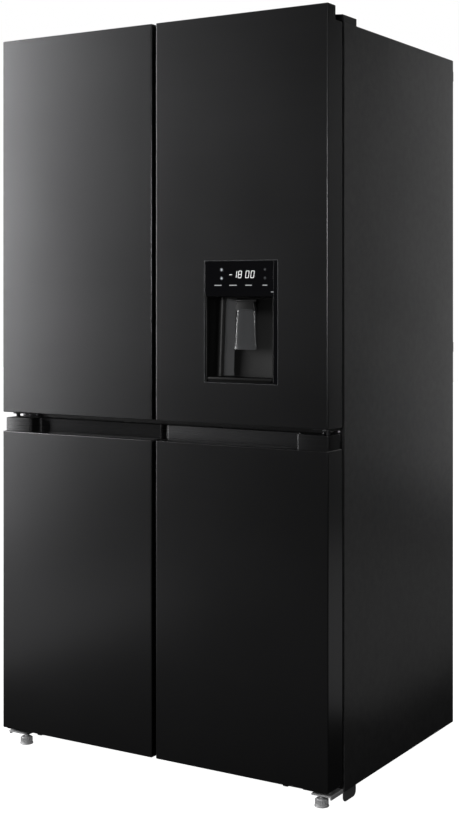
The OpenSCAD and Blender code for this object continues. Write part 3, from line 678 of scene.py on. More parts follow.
# the host mesh repeated evenly round an axis through Centre
def buildRingTree():
    tree, entry, leave = startTree("repeatRound", [
        ("Count", "Int", 6), ("Centre", "Vector", (0, 0, 0)), ("Axis", "Vector", (0, 0, 1)),
        ("Finish", "Material", None)])
    centre, host = entry.outputs["Centre"], entry.outputs["Geometry"]
    line = addNode(tree, "GeometryNodeMeshLine",
                   {"Count": entry.outputs["Count"], "Start Location": centre},
                   Offset=(0, 0, 0))
    line.mode = "OFFSET"
    back = tree.nodes.new("ShaderNodeVectorMath")
    back.operation = "SCALE"
    back.inputs["Scale"].default_value = -1
    tree.links.new(centre, back.inputs[0])
    shift = addNode(tree, "GeometryNodeTransform",
                    {"Geometry": host, "Translation": back.outputs["Vector"]})
    index = tree.nodes.new("GeometryNodeInputIndex").outputs["Index"]
    angle = mathNode(tree, "MULTIPLY", mathNode(tree, "DIVIDE", index, entry.outputs["Count"]), 2 * math.pi)
    turn = addNode(tree, "FunctionNodeAxisAngleToRotation", {"Axis": entry.outputs["Axis"], "Angle": angle})
    copies = addNode(tree, "GeometryNodeInstanceOnPoints",
                     {"Points": line.outputs["Mesh"], "Instance": shift.outputs["Geometry"],
                      "Rotation": turn.outputs["Rotation"]})
    return endTree(tree, entry, leave, copies.outputs["Instances"])


# a bent pipe along the host's edges
def buildPipeTree():
    tree, entry, leave = startTree("bentPipe", [
        ("Radius", "Float", 0.004), ("Bend", "Float", 0.012), ("Sides", "Int", 12),
        ("Finish", "Material", None)])
    path = addNode(tree, "GeometryNodeMeshToCurve", {"Mesh": entry.outputs["Geometry"]})
    fillet = tree.nodes.new("GeometryNodeFilletCurve")
    fillet.mode = "POLY"
    fillet.inputs["Count"].default_value = 6
    fillet.inputs["Limit Radius"].default_value = True
    tree.links.new(path.outputs["Curve"], fillet.inputs["Curve"])
    tree.links.new(entry.outputs["Bend"], fillet.inputs["Radius"])
    circle = addNode(tree, "GeometryNodeCurvePrimitiveCircle",
                     {"Resolution": entry.outputs["Sides"], "Radius": entry.outputs["Radius"]})
    skin = addNode(tree, "GeometryNodeCurveToMesh",
                   {"Curve": fillet.outputs["Curve"], "Profile Curve": circle.outputs["Curve"]},
                   Fill_Caps=True)
    return endTree(tree, entry, leave, skin.outputs["Mesh"])


rowTree, ringTree, pipeTree = buildRowTree(), buildRingTree(), buildPipeTree()


# runs a tree on the host with its inputs set, and keeps the result as a plain mesh
def grown(host, tree, finish, **values):
    modifier = host.modifiers.new(tree.name, "NODES")
    modifier.node_group = tree
    wanted = {label.replace("_", " "): value for label, value in values.items()}
    wanted["Finish"] = finish
    for item in tree.interface.items_tree:
        if item.in_out == "INPUT" and item.name in wanted:
            modifier[item.identifier] = wanted[item.name]
    bake(host)
    shadeByAngle(host.data, 35)
    return host


def piped(name, runs, radius, bend, finish, sides=12):
    mesh = bpy.data.meshes.new(name)
    points, edges = [], []
    for run in runs:
        edges += [(len(points) + i, len(points) + i + 1) for i in range(len(run) - 1)]
        points += run
    mesh.from_pydata(points, edges, [])
    return grown(newObject(name, mesh), pipeTree, finish, Radius=radius, Bend=bend, Sides=sides)


print("helpers and trees ready")

# doors

doorSet = {"fold": 0.003, "hem": 0.0022, "hemSteps": 5, "sheet": 0.001, "notchY": 0.035}


def unique(values):
    kept = []
    for value in sorted(values):
        if not kept or value - kept[-1] > 1e-6:
            kept.append(value)
    return kept


# a door's folded sheet: the front, both sides turned back, and every front edge rolled
def buildDoorPanel(side, level, z0, z1, notch=None, opening=None):
    nodeName = f"{level}_{side}_skin"
    fold, hem, steps = doorSet["fold"], doorSet["hem"], doorSet["hemSteps"]
    x0, x1 = gapX, sideX
    columns = [(x0, backY, -1, 0), (x0, frontY + fold, -1, 0)]
    for k in range(1, steps):
        angle = math.radians(90 * k / steps)
        columns.append((x0 + fold - fold * math.cos(angle), frontY + fold - fold * math.sin(angle),
                        -math.cos(angle), -math.sin(angle)))
    across = [x0 + fold, x1 - fold] + ([opening[0], opening[1]] if opening else [])
    columns += [(x, frontY, 0, -1) for x in unique(across)]
    for k in range(1, steps):
        angle = math.radians(90 * k / steps)
        columns.append((x1 - fold + fold * math.sin(angle), frontY + fold - fold * math.cos(angle),
                        math.sin(angle), -math.cos(angle)))
    columns.append((x1, frontY + fold, 1, 0))
    if notch:
        columns.append((x1, frontY + doorSet["notchY"], 1, 0))
    columns.append((x1, backY, 1, 0))
    rows = []
    for k in range(steps + 1):
        angle = math.radians(90 * k / steps)
        rows.append((z0 + hem - hem * math.cos(angle), hem - hem * math.sin(angle)))
    middle = ([opening[2], opening[3]] if opening else []) + ([notch] if notch else [])
    rows += [(z, 0) for z in unique(middle)]
    rows += [(z0 + z1 - z, inset) for z, inset in reversed(rows[: steps + 1])]
    bm = bmesh.new()
    grid = [[bm.verts.new((x - nx * inset, y - ny * inset, z)) for x, y, nx, ny in columns] for z,
            inset in rows]
    for r in range(len(rows) - 1):
        for c in range(len(columns) - 1):
            zMid = (rows[r][0] + rows[r + 1][0]) / 2
            if notch and c == len(columns) - 2 and zMid > notch:
                continue
            xMid = (columns[c][0] + columns[c + 1][0]) / 2
            onFront = columns[c][3] == -1 and columns[c + 1][3] == -1
            if opening and onFront and opening[0] < xMid < opening[1] and opening[2] < zMid < opening[3]:
                continue
            bm.faces.new((grid[r][c], grid[r][c + 1], grid[r + 1][c + 1], grid[r + 1][c]))
    if side == "left":
        mirrored(bm)
    panel = finishMesh(bm, f"{level}{side.title()}DoorPanel", doorSteel, angle=50, outward=False, merge=0)
    thick = panel.modifiers.new("sheet", "SOLIDIFY")
    thick.thickness, thick.offset = doorSet["sheet"], -1
    evenNormals(bake(panel))
    return place(panel, f"{level}_{side}_door", "door_steel", nodeName)


panelLow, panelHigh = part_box("dispenser_housing")
openingBox = (panelLow.x - 0.0002, panelHigh.x + 0.0002, panelLow.z - 0.0002, panelHigh.z + 0.0002)
for side in ("left", "right"):
    buildDoorPanel(side, "upper", upperBase, doorTop, notch=cabTop - 0.0015,
                   opening=openingBox if side == "right" else None)
    buildDoorPanel(side, "lower", lowerBase, lowerPanelTop)
print("door panels done")

# the grip along a lower door's top: end block, hollow corner, straight rail and round end
gripSet = {"block": 0.084, "blockFront": 0.009, "rail": 0.042, "convex": 0.007, "hollow": 0.011,
           "end": 0.007, "top": 0.0012}


def arcPoints(cx, cy, radius, start, end, steps=6):
    return [(cx + radius * math.cos(math.radians(start + (end - start) * k / steps)),
             cy + radius * math.sin(math.radians(start + (end - start) * k / steps))) for k in range(
                     steps + 1)]


def buildGrip(side):
    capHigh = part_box(f"lower_{side}_caps")[1]
    outer, inner = sideX - 0.003, gapX + 0.001
    blockX = sideX - gripSet["block"]
    blockY, railY = frontY + gripSet["blockFront"], frontY + gripSet["rail"]
    convex, hollow, end = gripSet["convex"], gripSet["hollow"], gripSet["end"]
    rearY = capHigh.y
    outline = [(outer, rearY), (inner, rearY)]
    outline += arcPoints(inner + end, railY + end, end, 180, 270)
    outline += arcPoints(blockX - hollow, railY - hollow, hollow, 90, 0)
    outline += arcPoints(blockX + convex, blockY + convex, convex, 180, 270)
    outline += arcPoints(outer - 0.003, blockY + 0.003, 0.003, 270, 360)
    bm = bmesh.new()
    addPrism(bm, outline, "z", lowerPanelTop - 0.006, capHigh.z)
    if side == "left":
        mirrored(bm)
    grip = finishMesh(bm, f"{side}GripRail", gripPlastic, angle=40)
    bake(addBevel(grip, gripSet["top"], 3, 60))
    place(grip, f"lower_{side}_door", "grip_plastic")
    caps = softened(f"lower_{side}_caps", 0.0008, "grip_plastic", keepBelow=lowerPanelTop - 0.0004,
                    title=f"{side}LowerCaps")
    caps.data.materials[0] = trimPlastic


for side in ("left", "right"):
    buildGrip(side)
    softened(f"upper_{side}_caps", 0.0012, "trim_plastic")
print("grips and caps done")

# magnetic seal: a bellows section swept round the door's back
gasketSet = {"corner": 0.012, "steps": 4}


def buildGasket(side, level):
    low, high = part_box(f"{level}_{side}_gasket")
    depth = high.y - low.y
    # (distance in from the outer edge, share of the depth)
    section = [(0.001, 0), (0.001, 0.18), (0.004, 0.26), (0.0015, 0.4), (0.0, 0.62), (0.0012, 0.9),
               (0.003, 1.0),
               (0.011, 1.0), (0.0128, 0.9), (0.014, 0.62), (0.0125, 0.4), (0.010, 0.26), (0.013, 0.18),
               (0.013, 0)]
    rings = []
    for inset, share in section:
        y = low.y + depth * share
        radius = max(gasketSet["corner"] - inset * 0.5, 0.002)
        rings.append([(x, y, z) for x, z in roundedOutline(low.x + inset, high.x - inset, low.z + inset,
                                                           high.z - inset, radius, gasketSet["steps"])])
    bm = bmesh.new()
    addLoft(bm, rings, closeEnds=False, loop=True)
    place(finishMesh(bm, f"{level}{side.title()}Seal", sealRubber, angle=60), f"{level}_{side}_door",
          "gasket_rubber", f"{level}_{side}_gasket")


for level in ("upper", "lower"):
    for side in ("left", "right"):
        buildGasket(side, level)
        softened(f"{level}_{side}_liner", 0.0011, "liner_plastic", segments=2)

# door bins: drafted trays with a front rail and stiffening ribs
binSet = {"ribs": 9, "ribWidth": 0.0022, "ribDeep": 0.0012}


def buildBins(side):
    low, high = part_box(f"upper_{side}_bins")
    heights = [upperBase + 0.07, upperBase + 0.39, upperBase + 0.62]
    if side == "right":
        del heights[1]
    bm = bmesh.new()
    for z in heights:
        addTray(bm, (low.x, low.y + 0.0004, z), (high.x, high.y, z + 0.096), corner=0.018, draft=0.006)
    bins = finishMesh(bm, f"{side}DoorBins", drawerClear)
    place(bins, f"upper_{side}_door", "clear_plastic", f"upper_{side}_bins")
    rib = bmesh.new()
    start = low.x + 0.04
    spread = (high.x - low.x - 0.08) / (binSet["ribs"] - 1)
    frontFace = high.y - 0.0058
    addBlock(rib, (start, frontFace - 0.004, heights[0] + 0.016),
             (start + binSet["ribWidth"], frontFace + binSet["ribDeep"], heights[0] + 0.072), 0.0005)
    host = finishMesh(rib, f"{side}BinRibs", drawerClear)
    if side == "left":
        grown(host, rowTree, drawerClear, Count=binSet["ribs"], Step=(spread, 0, 0), Rows=2,
              Row_Step=(0, 0, 0.32))
    else:
        grown(host, rowTree, drawerClear, Count=binSet["ribs"], Step=(spread, 0, 0), Rows=2,
              Row_Step=(0, 0, 0.55))
    place(host, f"upper_{side}_door", "clear_plastic")


for side in ("left", "right"):
    buildBins(side)
print("seals, liners and bins done")

# dispenser

dispenserSet = {"recessIn": 0.006, "recessRight": 0.014, "corner": 0.012, "lean": 0.012, "depth": 0.060,
                "wall": 0.002, "channel": 0.017, "standOff": 0.006}
glassLow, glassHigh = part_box("control_panel")
recessTop = glassLow.z - 0.0002
recessLow = panelLow.z + 0.0018
recessX0, recessX1 = panelLow.x + dispenserSet[
        "recessIn"] - 0.0002, panelHigh.x - dispenserSet["recessRight"] + 0.0002


# plan of the recess at one height: from the front edge, round the back, to the front again
def recessPlan(z, grow=0.0):
    share = (z - recessLow) / (recessTop - recessLow)
    back = frontY + dispenserSet["depth"] - dispenserSet["lean"] * (1 - share) + grow
    radius = dispenserSet["corner"]
    x0, x1 = recessX0 - grow, recessX1 + grow
    lip = 0.0022 if not grow else 0
    rim = frontY + 0.0024
    plan = [(x0 - lip, rim), (x0 - lip * 0.3, rim + lip * 0.3), (x0, rim + lip)] if lip else [(x0, rim)] * 3
    plan += [(x0 + radius - radius * math.cos(a),
              back - radius + radius * math.sin(a)) for a in [math.radians(90 * k / 7) for k in range(8)]]
    plan += [(x1 - radius + radius * math.sin(a),
              back - radius + radius * math.cos(a)) for a in [math.radians(90 * k / 7) for k in range(8)]]
    plan += [(x1, rim + lip), (x1 + lip * 0.3, rim + lip * 0.3),
             (x1 + lip, rim)] if lip else [(x1, rim)] * 3
    return [(x, y, z) for x, y in plan]


def buildHousing():
    bm = bmesh.new()
    heights = [recessLow + (recessTop - recessLow) * k / 8 for k in range(9)]
    rows = [[bm.verts.new(point) for point in recessPlan(z)] for z in heights]
    for lower, upper in zip(rows, rows[1:]):
        for i in range(len(lower) - 1):
            bm.faces.new((lower[i], lower[i + 1], upper[i + 1], upper[i]))
    bm.faces.new(list(reversed(rows[0])))
    bm.faces.new(rows[-1])
    for face in bm.faces:
        face.normal_flip()
    recess = finishMesh(bm, "dispenserRecess", recessBlack, angle=40, outward=False)
    wall = recess.modifiers.new("wall", "SOLIDIFY")
    wall.thickness, wall.offset = dispenserSet["wall"], -1
    bake(recess)
    shadeByAngle(recess.data, 40)
    place(recess, "upper_right_door", "dispenser_plastic", "dispenser_housing")

    # satin plate standing off the back wall, round at its free left edge
    bm = bmesh.new()
    rings = []
    for z in (recessLow + 0.0125, recessLow + 0.0135, recessTop - 0.001):
        share = (z - recessLow) / (recessTop - recessLow)
        back = frontY + dispenserSet["depth"] - dispenserSet["lean"] * (1 - share)
        inset = 0.001 if z == recessLow + 0.0125 else 0
        left, right = recessX0 + dispenserSet["channel"] + inset, recessX1 - 0.0004
        ridge, flat = back - dispenserSet["standOff"] + inset, back - 0.0008 + inset
        plan = [(right, back + 0.0008), (left + 0.002, back + 0.0008)] + arcPoints(left + 0.006,
                ridge + 0.006, 0.006, 165, 270)
        plan += [(left + 0.012, ridge + 0.0003), (left + 0.030, flat - 0.0006), (left + 0.038, flat),
                 (right, flat)]
        rings.append([(x, y, z) for x, y in plan])
    addLoft(bm, rings)
    plate = evenNormals(finishMesh(bm, "dispenserBackPlate", housingPlastic, angle=40))
    place(plate, "upper_right_door", "dispenser_plastic")

    # bezel: a slim rounded frame round the glass and the recess
    outer = (panelLow.x, panelHigh.x, panelLow.z, panelHigh.z)
    inner = (recessX0 - 0.0022, recessX1 + 0.0022, recessLow, glassHigh.z + 0.0002)
    frontEdge, rim = frontY, 0.0007
    rings = []
    for inset, y in ((0, frontEdge + 0.006), (0, frontEdge + rim), (rim * 0.3, frontEdge + rim * 0.3),
                     (rim, frontEdge)):
        rings.append([(x, y, z) for x, z in roundedOutline(outer[0] + inset, outer[1] - inset,
                                                           outer[2] + inset, outer[3] - inset, 0.0025)])
    for inset, y in ((rim, frontEdge), (rim * 0.3, frontEdge + rim * 0.3), (0, frontEdge + rim),
                     (0, frontEdge + 0.006)):
        rings.append([(x, y, z) for x, z in roundedOutline(inner[0] - inset, inner[1] + inset,
                                                           inner[2] - inset, inner[3] + inset, 0.0015)])
    bm = bmesh.new()
    addLoft(bm, rings, closeEnds=False, loop=True)
    bezel = evenNormals(finishMesh(bm, "dispenserBezel", panelGlass, angle=50))
    place(bezel, "upper_right_door", "dispenser_plastic")

    # outline trim that catches the light along the bezel's edge
    rings = []
    for inset, y in ((0, frontEdge + 0.0012), (0.0002, frontEdge + 0.0001), (0.0010, frontEdge + 0.0001),
                     (0.0012, frontEdge + 0.0012)):
        rings.append([(x, y, z) for x, z in roundedOutline(outer[0] + inset, outer[1] - inset,
                                                           outer[2] + inset, outer[3] - inset, 0.0025)])
    bm = bmesh.new()
    addLoft(bm, rings, closeEnds=False, loop=True)
    place(finishMesh(bm, "bezelTrim", trimLine, angle=60), "upper_right_door", "dispenser_plastic")

    # chute above the paddle: a tapered hollow spout
    bm = bmesh.new()
    cx0, cx1, cy0, cy1 = recessX0 + 0.040, recessX0 + 0.113, frontY + 0.008, frontY + 0.036
    rings = []
    for inset, z in ((0, recessTop + 0.002), (0.003, recessTop - 0.004), (0.0036, recessTop - 0.0045),
                     (0.0060, recessTop - 0.0045), (0.004, recessTop + 0.002)):
        rings.append([(x, y, z) for x, y in roundedOutline(cx0 + inset, cx1 - inset, cy0 + inset,
                                                           cy1 - inset, 0.005)])
    addLoft(bm, rings)
    place(finishMesh(bm, "waterChute", recessBlack), "upper_right_door", "dispenser_plastic")


# clear lever: slightly wider at its foot, with turned side flanges and a rolled lip
paddleSet = {"flange": 0.005, "thick": 0.0018, "rows": 14, "lip": 0.005, "arm": 0.018, "crown": 0.0022,
             "shift": 0.0012}


def buildPaddle():
    low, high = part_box("dispenser_paddle")
    pivot = jointSpot("paddle_press")
    x0, x1 = low.x + 0.002, high.x - 0.002
    middle = (x0 + x1) / 2 + paddleSet["shift"]
    bm = bmesh.new()
    rows = []
    top, foot = pivot.z - paddleSet["arm"], low.z
    for k in range(paddleSet["rows"] + 1):
        share = k / paddleSet["rows"]
        z = top + (foot - top) * share
        half = (x1 - x0) / 2 - 0.0025 + 0.0040 * share
        belly = 0.0022 * math.sin(math.pi * min(share * 1.1, 1))
        lip = paddleSet["lip"] * max(0, (share - 0.86) / 0.14) ** 2
        y = low.y + 0.0036 - 0.0026 * share - belly * 0.4 - lip * 0.6
        deep = paddleSet["flange"] * (1 - 0.85 * share)
        ring = [(middle - half, y + deep, z), (middle - half, y + 0.0016, z),
                (middle - half + 0.0016, y, z)]
        ring += [(middle + half * across, y - paddleSet["crown"] * (1 - across * across),
                  z) for across in (-0.66, -0.33, 0, 0.33, 0.66)]
        ring += [(middle + half - 0.0016, y, z), (middle + half, y + 0.0016, z),
                 (middle + half, y + deep, z)]
        rows.append([bm.verts.new(point) for point in ring])
    for upper, lower in zip(rows, rows[1:]):
        for i in range(len(upper) - 1):
            bm.faces.new((lower[i], lower[i + 1], upper[i + 1], upper[i]))
    lever = finishMesh(bm, "dispenserLever", paddleClear, angle=50, outward=False)
    thick = lever.modifiers.new("wall", "SOLIDIFY")
    thick.thickness, thick.offset = paddleSet["thick"], -1
    smooth = lever.modifiers.new("smooth", "SUBSURF")
    smooth.levels = smooth.render_levels = 2
    bake(lever)
    shadeByAngle(lever.data, 60)
    place(lever, "paddle", "paddle_plastic", "dispenser_paddle")
    # dark arm the blade is clipped to, narrower towards the pivot
    bm = bmesh.new()
    rings = []
    for grow, z in ((-0.006, pivot.z + 0.003), (-0.0045, pivot.z - 0.004), (-0.0015, top + 0.0005),
                    (-0.0015, top - 0.004), (-0.003, top - 0.005)):
        rings.append([(x, y, z) for x, y in roundedOutline(x0 - grow, x1 + grow, low.y + 0.0030,
                                                           high.y + 0.0045, 0.002)])
    addLoft(bm, rings)
    place(finishMesh(bm, "leverArm", recessBlack), "paddle", "paddle_plastic")
    bm = bmesh.new()
    half = (x1 - x0) / 2 + 0.0005
    addLathe(bm, [(0.0024, -half), (0.0028, -half + 0.0006), (0.0028, half - 0.0006), (0.0024, half)],
             (middle, pivot.y, pivot.z), (1, 0, 0), 20)
    place(finishMesh(bm, "leverPin", trimPlastic), "paddle", "paddle_plastic")


# slim tray with a slotted grille on top
traySet = {"slots": 13, "bar": 0.0035}


def buildDripTray():
    low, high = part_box("drip_tray")
    bm = bmesh.new()
    addTray(bm, low, (high.x, high.y, high.z - 0.0022), wall=0.0016, corner=0.004, draft=0.001, rim=0.001,
            foot=0.0015)
    place(finishMesh(bm, "dripTrayBowl", recessBlack), "tray", "trim_plastic", "drip_tray")
    bm = bmesh.new()
    outer, hole = (low.x + 0.0008, high.x - 0.0008, low.y + 0.0006, high.y - 0.0006), 0.006
    rings = []
    for inset, z in ((0, high.z - 0.0026), (0, high.z - 0.0006), (0.0006, high.z), (hole - 0.0006, high.z),
                     (hole, high.z - 0.0006), (hole, high.z - 0.0026)):
        rings.append([(x, y, z) for x, y in roundedOutline(outer[0] + inset, outer[1] - inset,
                                                           outer[2] + inset, outer[3] - inset, 0.004)])
    addLoft(bm, rings, closeEnds=False, loop=True)
    place(finishMesh(bm, "dripGrilleFrame", recessBlack), "tray", "trim_plastic")
    bm = bmesh.new()
    step = (outer[1] - outer[0] - 2 * hole) / (traySet["slots"] + 1)
    start = outer[0] + hole + step - traySet["bar"] / 2
    addBlock(bm, (start, outer[2] + hole - 0.001, high.z - 0.0024),
             (start + traySet["bar"], outer[3] - hole + 0.001, high.z - 0.0003), 0.0005)
    bars = grown(finishMesh(bm, "dripGrilleBars", recessBlack), rowTree, recessBlack,
                 Count=traySet["slots"], Step=(step, 0, 0), Rows=1)
    place(bars, "tray", "trim_plastic")


# black glass with its lit figures: lamps, a minus, four digits, and plain dashes for labels
displaySet = {
    "digitHigh": 0.0165, "digitWide": 0.0092, "stroke": 0.0014, "lean": 0.14, "digitZ": 1.1580,
    "digits": ((0.2155, "1"), (0.2282, "8"), (0.2475, "0"), (0.2610, "0")),
    "minus": (0.2063, 0.2134, 1.1657), "lamps": ((0.1856, 1.1770), (0.1856, 1.1580)),
    "ghosts": ((0.2987, 1.1770), (0.2987, 1.1580)),
    "labels": ((0.1667, 0.1856), (0.2063, 0.2254), (0.2482, 0.2649), (0.2924, 0.3047)), "labelZ": 1.1420,
    "mark": (0.3140, 0.3288, 1.1270),
}
segmentsOf = {"0": "abcdef", "1": "bc", "8": "abcdefg"}


def buildPanel():
    bm = bmesh.new()
    addBlock(bm, tuple(glassLow + Vector((0.0002, 0.0002, 0.0002))),
             tuple(glassHigh - Vector((0.0002, 0, 0.0002))), 0.0005, 2)
    place(evenNormals(finishMesh(bm, "panelGlass", panelGlass, angle=50)), "upper_right_door",
          "control_glass", "control_panel")
    face = glassLow.y + 0.0002
    y0, y1 = face - 0.00012, face + 0.0001

    def addGlyph(target, outline):
        addPrism(target, outline, "y", y0, y1)

    def box(x0, x1, z0, z1):
        return [(x0, z0), (x1, z0), (x1, z1), (x0, z1)]

    high, wide, stroke, lean, base = (displaySet[key] for key in ("digitHigh", "digitWide", "stroke",
            "lean", "digitZ"))
    gap = stroke * 0.2
    half = high / 2
    segments = {
        "a": box(gap + stroke / 2, wide - gap - stroke / 2, high - stroke, high),
        "d": box(gap + stroke / 2, wide - gap - stroke / 2, 0, stroke),
        "g": box(gap + stroke / 2, wide - gap - stroke / 2, half - stroke / 2, half + stroke / 2),
        "b": box(wide - stroke, wide, half + gap, high - gap - stroke / 2),
        "c": box(wide - stroke, wide, gap + stroke / 2, half - gap),
        "e": box(0, stroke, gap + stroke / 2, half - gap),
        "f": box(0, stroke, half + gap, high - gap - stroke / 2),
    }
    bm = bmesh.new()
    for x, digit in displaySet["digits"]:
        for name in segmentsOf[digit]:
            addGlyph(bm, [(x + px + lean * pz, base + pz) for px, pz in segments[name]])
    x0, x1, z = displaySet["minus"]
    addGlyph(bm, box(x0, x1, z - stroke / 2, z + stroke / 2))
    place(finishMesh(bm, "litDigits", litDigit, angle=20), "upper_right_door", "control_glass")

    # each lamp is a ring with rays, drawn the same way
    def addIcon(target, x, z, radius):
        circle = [(x + radius * 0.45 * math.cos(math.radians(a)),
                   z + radius * 0.45 * math.sin(math.radians(a))) for a in range(0, 360, 30)]
        addGlyph(target, circle)
        for a in range(0, 360, 45):
            direction = Vector((math.cos(math.radians(a)), math.sin(math.radians(a))))
            across = Vector((-direction.y, direction.x)) * radius * 0.09
            start, stop = direction * radius * 0.62, direction * radius
            corners = [start + across, start - across, stop - across, stop + across]
            addGlyph(target, [(x + c.x, z + c.y) for c in reversed(corners)])

    bm = bmesh.new()
    for x, z in displaySet["lamps"]:
        addIcon(bm, x, z, 0.0038)
    place(finishMesh(bm, "lampIcons", litLamp, angle=20), "upper_right_door", "control_glass")
    bm = bmesh.new()
    for x, z in displaySet["ghosts"]:
        addIcon(bm, x, z, 0.0034)
    place(finishMesh(bm, "dimIcons", dimIcon, angle=20), "upper_right_door", "control_glass")
    bm = bmesh.new()
    for x0, x1 in displaySet["labels"]:
        addGlyph(bm, box(x0, x1, displaySet["labelZ"] - 0.0010, displaySet["labelZ"] + 0.0010))
    x0, x1, z = displaySet["mark"]
    addGlyph(bm, box(x0, x1, z - 0.0008, z + 0.0008))
    place(finishMesh(bm, "labelDashes", markPrint, angle=20), "upper_right_door", "control_glass")


buildHousing()
buildPaddle()
buildDripTray()
buildPanel()
print("dispenser done")

# hinges, feet and trim

for nodeName, width in (("top_hinges", 0.0006), ("middle_hinges", 0.0006), ("bottom_hinges", 0.0007),
                        ("hinge_covers", 0.0014),
                        ("rear_spacers", 0.0015), ("cabinet_shell", 0.0005), ("roller_brackets", 0.0006),
                        ("cross_rail", 0.001),
                        ("base_tray", 0.0006), ("fan_mounts", 0.001), ("freezer_divider", 0.003),
                        ("fridge_liner", 0.0009),
                        ("freezer_liner", 0.0009), ("glass_shelves", 0.0012), ("evaporator_cover", 0.0008),
                        ("flip_mullion", 0.002)):
    softened(nodeName, width, slotOf[nodeName])

# pan-head screws with a cross recess, one bored head repeated in a row
screwSet = {"high": 0.0026, "small": 0.0032, "sheet": 0.0034, "hinge": 0.005}


def buildScrew(name, spot, axis, radius, **rows):
    bm = bmesh.new()
    high = screwSet["high"]
    addLathe(bm, [(radius, 0), (radius, high * 0.35), (radius * 0.86, high * 0.75), (radius * 0.5, high)],
             spot, axis, 20)
    head = finishMesh(bm, name, screwSteel)
    cut = bmesh.new()
    turn = Vector((0, 0, 1)).rotation_difference(Vector(axis)).to_matrix()
    for along, across in ((1, 0.2), (0.2, 1)):
        made = bmesh.ops.create_cube(cut, size=1.0)
        for vertex in made["verts"]:
            local = Vector((vertex.co.x * radius * along, vertex.co.y * radius * across,
                            high * (0.75 + vertex.co.z * 0.9)))
            vertex.co = Vector(spot) + turn @ local
    cutter = finishMesh(cut, name + "Cross", screwSteel)
    slot = head.modifiers.new("crossSlot", "BOOLEAN")
    slot.operation, slot.solver, slot.object = "DIFFERENCE", "EXACT", cutter
    slot.use_self = True
    bake(head)
    bpy.data.objects.remove(cutter)
    if rows:
        grown(head, rowTree, screwSteel, **rows)
    return head


hingeSpot = jointSpot("upper_right_door_hinge")
screwParts = []
# name, distance out from the hinge, depth, height, facing, size, spacing of a pair
screwRows = (
    ("MiddleScrews", -0.031, cabFront - 0.0045, lowerPanelTop + 0.037, (0, -1, 0), "small", 0.021),
    ("MiddleScrewOuter", 0.007, cabFront - 0.0045, lowerPanelTop + 0.037, (0, -1, 0), "small", 0),
    ("TopScrews", -0.034, hingeSpot.y + 0.064, cabTop + 0.004, (0, 0, 1), "hinge", 0.022),
    ("BracketScrew", -0.028, cabFront - 0.004, lowerBase + 0.010, (0, -1, 0), "small", 0),
)
for side, sign in (("left", -1), ("right", 1)):
    for title, shift, y, z, axis, size, step in screwRows:
        rows = {"Count": 2, "Step": (sign * step, 0, 0), "Rows": 1} if step else {}
        spot = (sign * (hingeSpot.x + shift), y, z)
        screwParts.append(buildScrew(side + title, spot, axis, screwSet[size], **rows))
for index, part in enumerate(screwParts):
    place(part, "cabinet", "screw_steel", *(["hinge_screws"] if index == 0 else []))

# levelling foot: turned pad, knurled nut and a threaded stem
footSet = {"knurls": 24, "threads": 11, "pitch": 0.0016, "threadStart": 0.0190}


def buildFoot(side):
    low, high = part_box(f"{side}_foot")
    spot = jointSpot(f"{side}_foot_turn")
    centre = (spot.x, spot.y, 0)
    radius = (high.x - low.x) / 2
    bm = bmesh.new()
    addLathe(bm, [(radius - 0.003, 0), (radius - 0.0006, 0.0005), (radius, 0.0016),
                  (radius - 0.0008, 0.004), (radius - 0.003, 0.0048),
                  (radius - 0.0034, 0.006), (radius - 0.0034, 0.016), (radius - 0.0045, 0.018),
                  (0.0056, 0.018), (0.0042, 0.0185), (0.0042, high.z - 0.001), (0.0032, high.z)], centre,
                  (0, 0, 1), 40)
    foot = finishMesh(bm, f"{side}FootTurned", footZinc, angle=40)
    place(foot, f"{side}_foot", "galvanised_steel", f"{side}_foot")
    bm = bmesh.new()
    edge = radius - 0.0036
    addPrism(bm, [(spot.x + edge, spot.y - 0.0012), (spot.x + edge + 0.0022, spot.y - 0.0005),
                  (spot.x + edge + 0.0022, spot.y + 0.0005), (spot.x + edge, spot.y + 0.0012)],
             "z", 0.0062, 0.0158)
    knurl = grown(finishMesh(bm, f"{side}FootKnurl", footZinc), ringTree, footZinc, Count=footSet["knurls"],
                  Centre=centre, Axis=(0, 0, 1))
    place(knurl, f"{side}_foot", "galvanised_steel")
    bm = bmesh.new()
    start = footSet["threadStart"]
    addLathe(bm, [(0.0040, start), (0.0050, start + 0.0006), (0.0050, start + 0.0008),
                  (0.0040, start + 0.0014)], centre, (0, 0, 1), 24)
    thread = grown(finishMesh(bm, f"{side}FootThread", footZinc), rowTree, footZinc,
                   Count=footSet["threads"], Step=(0, 0, footSet["pitch"]), Rows=1)
    place(thread, f"{side}_foot", "galvanised_steel")


rollerSet = {"grooves": 4, "grooveDeep": 0.0009, "steps": 40}


